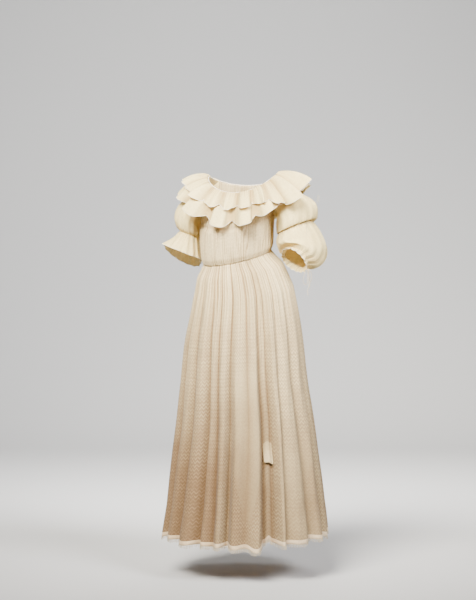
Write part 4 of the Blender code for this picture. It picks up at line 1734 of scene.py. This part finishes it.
@dataclass
class FrontTab:
    """Plain tab of cloth that hangs in the deep front fold, with a rounded lower corner."""

    skirt: Skirt
    first: float = 8.02
    last: float = 9.06
    top: float = 0.652
    foot: float = 0.726
    rounding: float = 0.014
    lift: float = 0.0009
    foot_lift: float = 0.0105
    curl: float = 0.0015
    facing: tuple[float, float] = (32.0, 41.0)
    cut: tuple[float, float] = (0.034, 0.070)
    columns: int = 20
    rows: int = 30

    def point(self, across: float, down: float) -> Vector:
        """Gives a point of the tab.

        Args:
            across: Place from its left edge as seen, 0, to its right edge, 1.
            down: Place from its top, 0, to its foot, 1.

        Returns:
            The point.
        """
        corner = self.rounding * max(0.0, 1.0 - across / 0.45) ** 2 * ease((down - 0.4) / 0.6)
        at = mix(self.top, self.foot, down) - corner
        phase = mix(self.first, self.last, across)
        curl = self.curl * math.cos(math.tau * 1.4 * across) * down
        lift = mix(self.lift, self.foot_lift, ease(down)) + curl
        return self.skirt.point(phase, at) + outward(mix(*self.facing, across)) * lift

    def build(self, finishes: Finishes) -> None:
        """Makes the tab's cloth."""
        # The tab's top, where it meets the fold, and its left edge get painted shade.
        tab = Sheet("front_tab_cloth", self.columns, self.rows, self.cut).build(
            self.point,
            lambda u, v: (0.30, 0.0, 0.45 * (1.0 - ease(v)) + 0.3 * bell(u, 0.12)),
            gown_axis,
            [finishes.figured],
        )
        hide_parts("front_tab")


@dataclass
class CuffTie:
    """Tie of the left cuff: a knot, two loops and two free ends of round cord."""

    diameter: float = 0.0018
    turn: float = 18.0
    knot: Vector = field(default_factory=lambda: Vector((0.2461, -0.0435, -0.3222)))
    radii: Triple = (0.0042, 0.0036, 0.0040)
    clearance: float = 0.0004
    steps: int = 48
    knot_points: int = 96
    knot_rounds: float = 3.0
    knot_sways: float = 2.0
    knot_reach: tuple[float, float] = (0.62, 0.22)
    knot_depth: float = 0.75
    loop_front: tuple[Triple, ...] = (
        (-0.0090, 0.0010, -0.0080), (-0.0150, 0.0018, -0.0180), (-0.0180, 0.0024, -0.0310),
        (-0.0160, 0.0028, -0.0420), (-0.0100, 0.0032, -0.0485), (-0.0045, 0.0036, -0.0460),
        (-0.0024, 0.0040, -0.0340), (-0.0022, 0.0040, -0.0180), (-0.0020, 0.0036, -0.0080),
    )
    loop_back: tuple[Triple, ...] = (
        (0.0082, -0.0006, -0.0052), (0.0098, -0.0012, -0.0140), (0.0112, -0.0020, -0.0250),
        (0.0098, -0.0030, -0.0350), (0.0060, -0.0036, -0.0380), (0.0028, -0.0040, -0.0310),
        (0.0024, -0.0040, -0.0180), (0.0024, -0.0038, -0.0080),
    )
    end_long: tuple[Triple, ...] = (
        (0.0004, 0.0076, -0.0020), (0.0010, 0.0084, -0.0120), (0.0016, 0.0080, -0.0300),
        (0.0020, 0.0076, -0.0470), (0.0010, 0.0072, -0.0580), (-0.0035, 0.0070, -0.0680),
        (-0.0022, 0.0068, -0.0770), (-0.0010, 0.0068, -0.0850),
    )
    end_short: tuple[Triple, ...] = (
        (0.0004, -0.0076, -0.0020), (0.0014, -0.0084, -0.0120), (0.0045, -0.0080, -0.0270),
        (0.0060, -0.0078, -0.0400), (0.0045, -0.0076, -0.0550),
    )

    def place(self, offset: Triple) -> Vector:
        """Gives the place of an offset across, out and up from the knot.

        Args:
            offset: The offset.

        Returns:
            The place.
        """
        turn = math.radians(self.turn)
        across = Vector((math.cos(turn), math.sin(turn), 0.0))
        return self.knot + across * offset[0] + outward(self.turn) * offset[1] + up(offset[2])

    def skin(self, offset: Triple) -> Vector:
        """Gives the place just clear of the knot on the way to an offset.

        Args:
            offset: The offset.

        Returns:
            The place.
        """
        away = (self.place(offset) - self.knot).normalized()
        reach = 1.0 / Vector([a / r for a, r in zip(away, self.radii)]).length
        return self.knot + away * (reach + self.clearance)

    def route(self, offsets: tuple[Triple, ...], is_loop: bool) -> list[Vector]:
        """Gives the smooth route of one cord.

        Args:
            offsets: Its offsets from the knot.
            is_loop: Whether it comes back to the knot.

        Returns:
            Its points.
        """
        places = [self.skin(offsets[0])] + [self.place(offset) for offset in offsets]
        if is_loop:
            places.append(self.skin(offsets[-1]))
        return smooth_route(places, self.steps)

    def turns(self) -> list[Vector]:
        """Gives the line of the knot: the cord's turns wound closely over each other."""
        points = []
        for k in range(self.knot_points):
            share = k / self.knot_points
            round_angle, sway = math.tau * self.knot_rounds * share, math.tau * self.knot_sways * share
            reach = self.knot_reach[0] + self.knot_reach[1] * math.cos(sway)
            offset = (
                self.radii[0] * reach * math.cos(round_angle),
                self.radii[1] * self.knot_depth * math.sin(sway),
                self.radii[2] * reach * math.sin(round_angle),
            )
            points.append(self.place(offset))
        return points

    def cord(self, name: str, offsets: tuple[Triple, ...], is_loop: bool, finishes: Finishes) -> None:
        """Args:
            name: Name of the solid that it stands for.
            offsets: Its offsets from the knot.
            is_loop: Whether it comes back to the knot.
            finishes: The gown's finishes.
        """
        points = self.route(offsets, is_loop)
        cord = cord_object(name + "_cord", [points], self.diameter / 2.0, finishes.thread, sides=3)
        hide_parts(name)
        tuple(points[0])
        round(length_of(points), 4)

    def build(self, finishes: Finishes) -> None:
        """Makes the knot, the loops and the ends."""
        radius = self.diameter / 2.0
        line = self.turns()
        knot = cord_object("left_tie_knot_turns", [line], radius, finishes.thread, closed=True, sides=2)
        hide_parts("left_tie_knot")
        for name, offsets, is_loop in (
            ("left_tie_loop_front", self.loop_front, True),
            ("left_tie_loop_back", self.loop_back, True),
            ("left_tie_end_long", self.end_long, False),
            ("left_tie_end_short", self.end_short, False),
        ):
            self.cord(name, offsets, is_loop, finishes)


@dataclass(frozen=True)
class LooseThread:
    """A broken thread that stands off the left sleeve."""

    name: str
    places: tuple[Triple, ...]
    diameter: float = 0.0008
    steps: int = 24

    def build(self, finishes: Finishes) -> None:
        points = smooth_route([Vector(place) for place in self.places], self.steps)
        thread = cord_object(self.name, [points], self.diameter / 2.0, finishes.thread)
        tuple(points[0])
        round(length_of(points), 4)


LOOSE_THREADS = (
    LooseThread(
        "loose_thread_gather",
        (
            (0.2340, -0.0190, -0.1560), (0.2350, -0.0270, -0.1570), (0.2395, -0.0375, -0.1680),
            (0.2400, -0.0490, -0.1850), (0.2430, -0.0545, -0.2000), (0.2410, -0.0590, -0.2120),
        ),
    ),
    LooseThread(
        "loose_thread_puff",
        (
            (0.2590, -0.0010, -0.0960), (0.2660, -0.0040, -0.0900), (0.2690, -0.0060, -0.0820),
            (0.2670, -0.0050, -0.0760), (0.2710, -0.0040, -0.0720), (0.2730, -0.0060, -0.0840),
            (0.2710, -0.0090, -0.0990),
        ),
    ),
)


@dataclass(frozen=True)
class Lamp:
    """One square soft lamp. Its place and aim are given in the camera's turn."""

    name: str
    place: Triple
    size: float
    power: float
    colour: Triple
    spread: float
    aim_z: float
    toward: float = 0.0


@dataclass
class Studio:
    """Pale floor with a curved backdrop, soft lights and the camera."""

    azimuth: float = 18.0
    distance: float = 5.5
    lens: float = 97.0
    target_z: float = -0.4216
    target_right: float = -0.0136
    floor_z: float = -1.353
    floor_near: float = -7.0
    wall: float = 4.8
    wall_height: float = 5.0
    corner_radius: float = 1.2
    half_width: float = 7.0
    paint: Colour = (0.66, 0.655, 0.645, 1.0)
    sky: Colour = (0.92, 0.93, 0.95, 1.0)
    sky_power: float = 0.17
    lamps: tuple[Lamp, ...] = (
        Lamp("key", (-1.1, 2.9, 2.2), 2.0, 106.0, (1.0, 0.965, 0.89), 52.0, 0.14),
        Lamp("fill", (2.2, 2.9, 1.7), 1.6, 42.0, (0.98, 0.97, 1.0), 56.0, 0.08),
        Lamp("top", (0.3, -1.4, 2.4), 1.4, 16.0, (1.0, 0.98, 0.96), 120.0, -0.5),
        Lamp("backdrop", (0.0, -1.5, 1.4), 3.0, 225.0, (1.0, 1.0, 1.0), 160.0, -0.3, toward=-6.0),
    )

    def turned(self) -> Matrix:
        """Gives the turn from straight ahead to the camera's side."""
        return Matrix.Rotation(math.radians(self.azimuth), 4, "Z")

    def floor(self) -> None:
        """Makes the floor and backdrop in one curved sheet."""
        strip = bmesh.new()
        bmesh.ops.create_grid(strip, x_segments=24, y_segments=48, size=1.0)
        turn = self.turned()
        radius = self.corner_radius
        level = self.wall - self.floor_near
        bend = radius * math.pi / 2.0
        for corner in strip.verts:
            run = (corner.co.y + 1.0) / 2.0 * (level + bend + self.wall_height)
            y, z = self.floor_near + run, 0.0
            if run > level:
                angle = min(math.pi / 2.0, (run - level) / radius)
                rest = max(0.0, run - level - bend)
                y, z = self.wall + radius * math.sin(angle), radius * (1.0 - math.cos(angle)) + rest
            corner.co = turn @ Vector((corner.co.x * self.half_width, y, z + self.floor_z))
        canvas = NodeCanvas("studio_floor")
        canvas.fill(canvas.shader, {"Base Color": self.paint, "Roughness": 0.95})
        mesh = bpy.data.meshes.new("studio_floor")
        strip.to_mesh(mesh)
        strip.free()
        mesh.shade_smooth()
        mesh.materials.append(canvas.material)
        floor = bpy.data.objects.new("studio_floor", mesh)
        bpy.context.scene.collection.objects.link(floor)

    def lamp(self, lamp: Lamp) -> None:
        """Hangs one square soft lamp.

        Args:
            lamp: Its sizes, power, colour and place.
        """
        data = bpy.data.lights.new(lamp.name, "AREA")
        data.size = lamp.size
        data.energy = lamp.power
        data.color = lamp.colour
        data.spread = math.radians(lamp.spread)
        across, near, height = lamp.place
        spot = self.turned() @ Vector((across, -near, height))
        aim = self.turned() @ Vector((0.0, -lamp.toward, lamp.aim_z))
        hung = bpy.data.objects.new(lamp.name, data)
        hung.location = spot
        hung.rotation_euler = (aim - spot).to_track_quat("-Z", "Y").to_euler()
        bpy.context.scene.collection.objects.link(hung)

    def camera(self) -> None:
        """Places the camera."""
        angle = math.radians(self.azimuth)
        right = Vector((math.cos(angle), math.sin(angle), 0.0))
        target = up(self.target_z) + right * self.target_right
        data = bpy.data.cameras.new("photo_camera")
        data.lens = self.lens
        data.sensor_width = 36.0
        camera = bpy.data.objects.new("photo_camera", data)
        camera.location = target + outward(self.azimuth) * self.distance
        camera.rotation_euler = (target - camera.location).to_track_quat("-Z", "Y").to_euler()
        bpy.context.scene.collection.objects.link(camera)
        bpy.context.scene.camera = camera

    def build(self) -> None:
        """Makes the whole studio."""
        self.floor()
        for lamp in self.lamps:
            self.lamp(lamp)
        world = bpy.data.worlds.new("studio_world")
        world.use_nodes = True
        background = world.node_tree.nodes["Background"]
        background.inputs[0].default_value = self.sky
        background.inputs[1].default_value = self.sky_power
        bpy.context.scene.world = world
        self.camera()


def main() -> None:
    """Builds every piece and logs each group as it is made."""
    logging.basicConfig(level=logging.INFO, format="%(name)s: %(message)s")
    finishes = Finishes()
    bodice = Bodice()
    bodice.build(finishes)
    LOG.info("bodice panels and casing stitches")
    skirt = Skirt()
    front, back = skirt.build(finishes)
    LOG.info("skirt panels")
    HemFringe(skirt).build("hem_fringe_front_threads", "hem_fringe_front", 0, front, finishes)
    HemFringe(skirt).build("hem_fringe_back_threads", "hem_fringe_back", skirt.panel_folds, back, finishes)
    LOG.info("hem fringe")
    NeckRuffle().build(finishes)
    LOG.info("neck ruffles")
    Sleeve(
        "sleeve_left_cloth", "sleeve_left", Side.LEFT, LEFT_SECTIONS, (6.0, 12.0), (0.44, 0.36), bodice
    ).build(finishes)
    Sleeve(
        "sleeve_right_cloth", "sleeve_right", Side.RIGHT, RIGHT_SECTIONS, (6.0,), (0.42, 0.27), bodice
    ).build(finishes)
    LOG.info("sleeves")
    FrontTab(skirt).build(finishes)
    CuffTie().build(finishes)
    for thread in LOOSE_THREADS:
        thread.build(finishes)
    LOG.info("tab, cuff tie and loose threads")
    Studio().build()


if __name__ == "__main__":
    main()
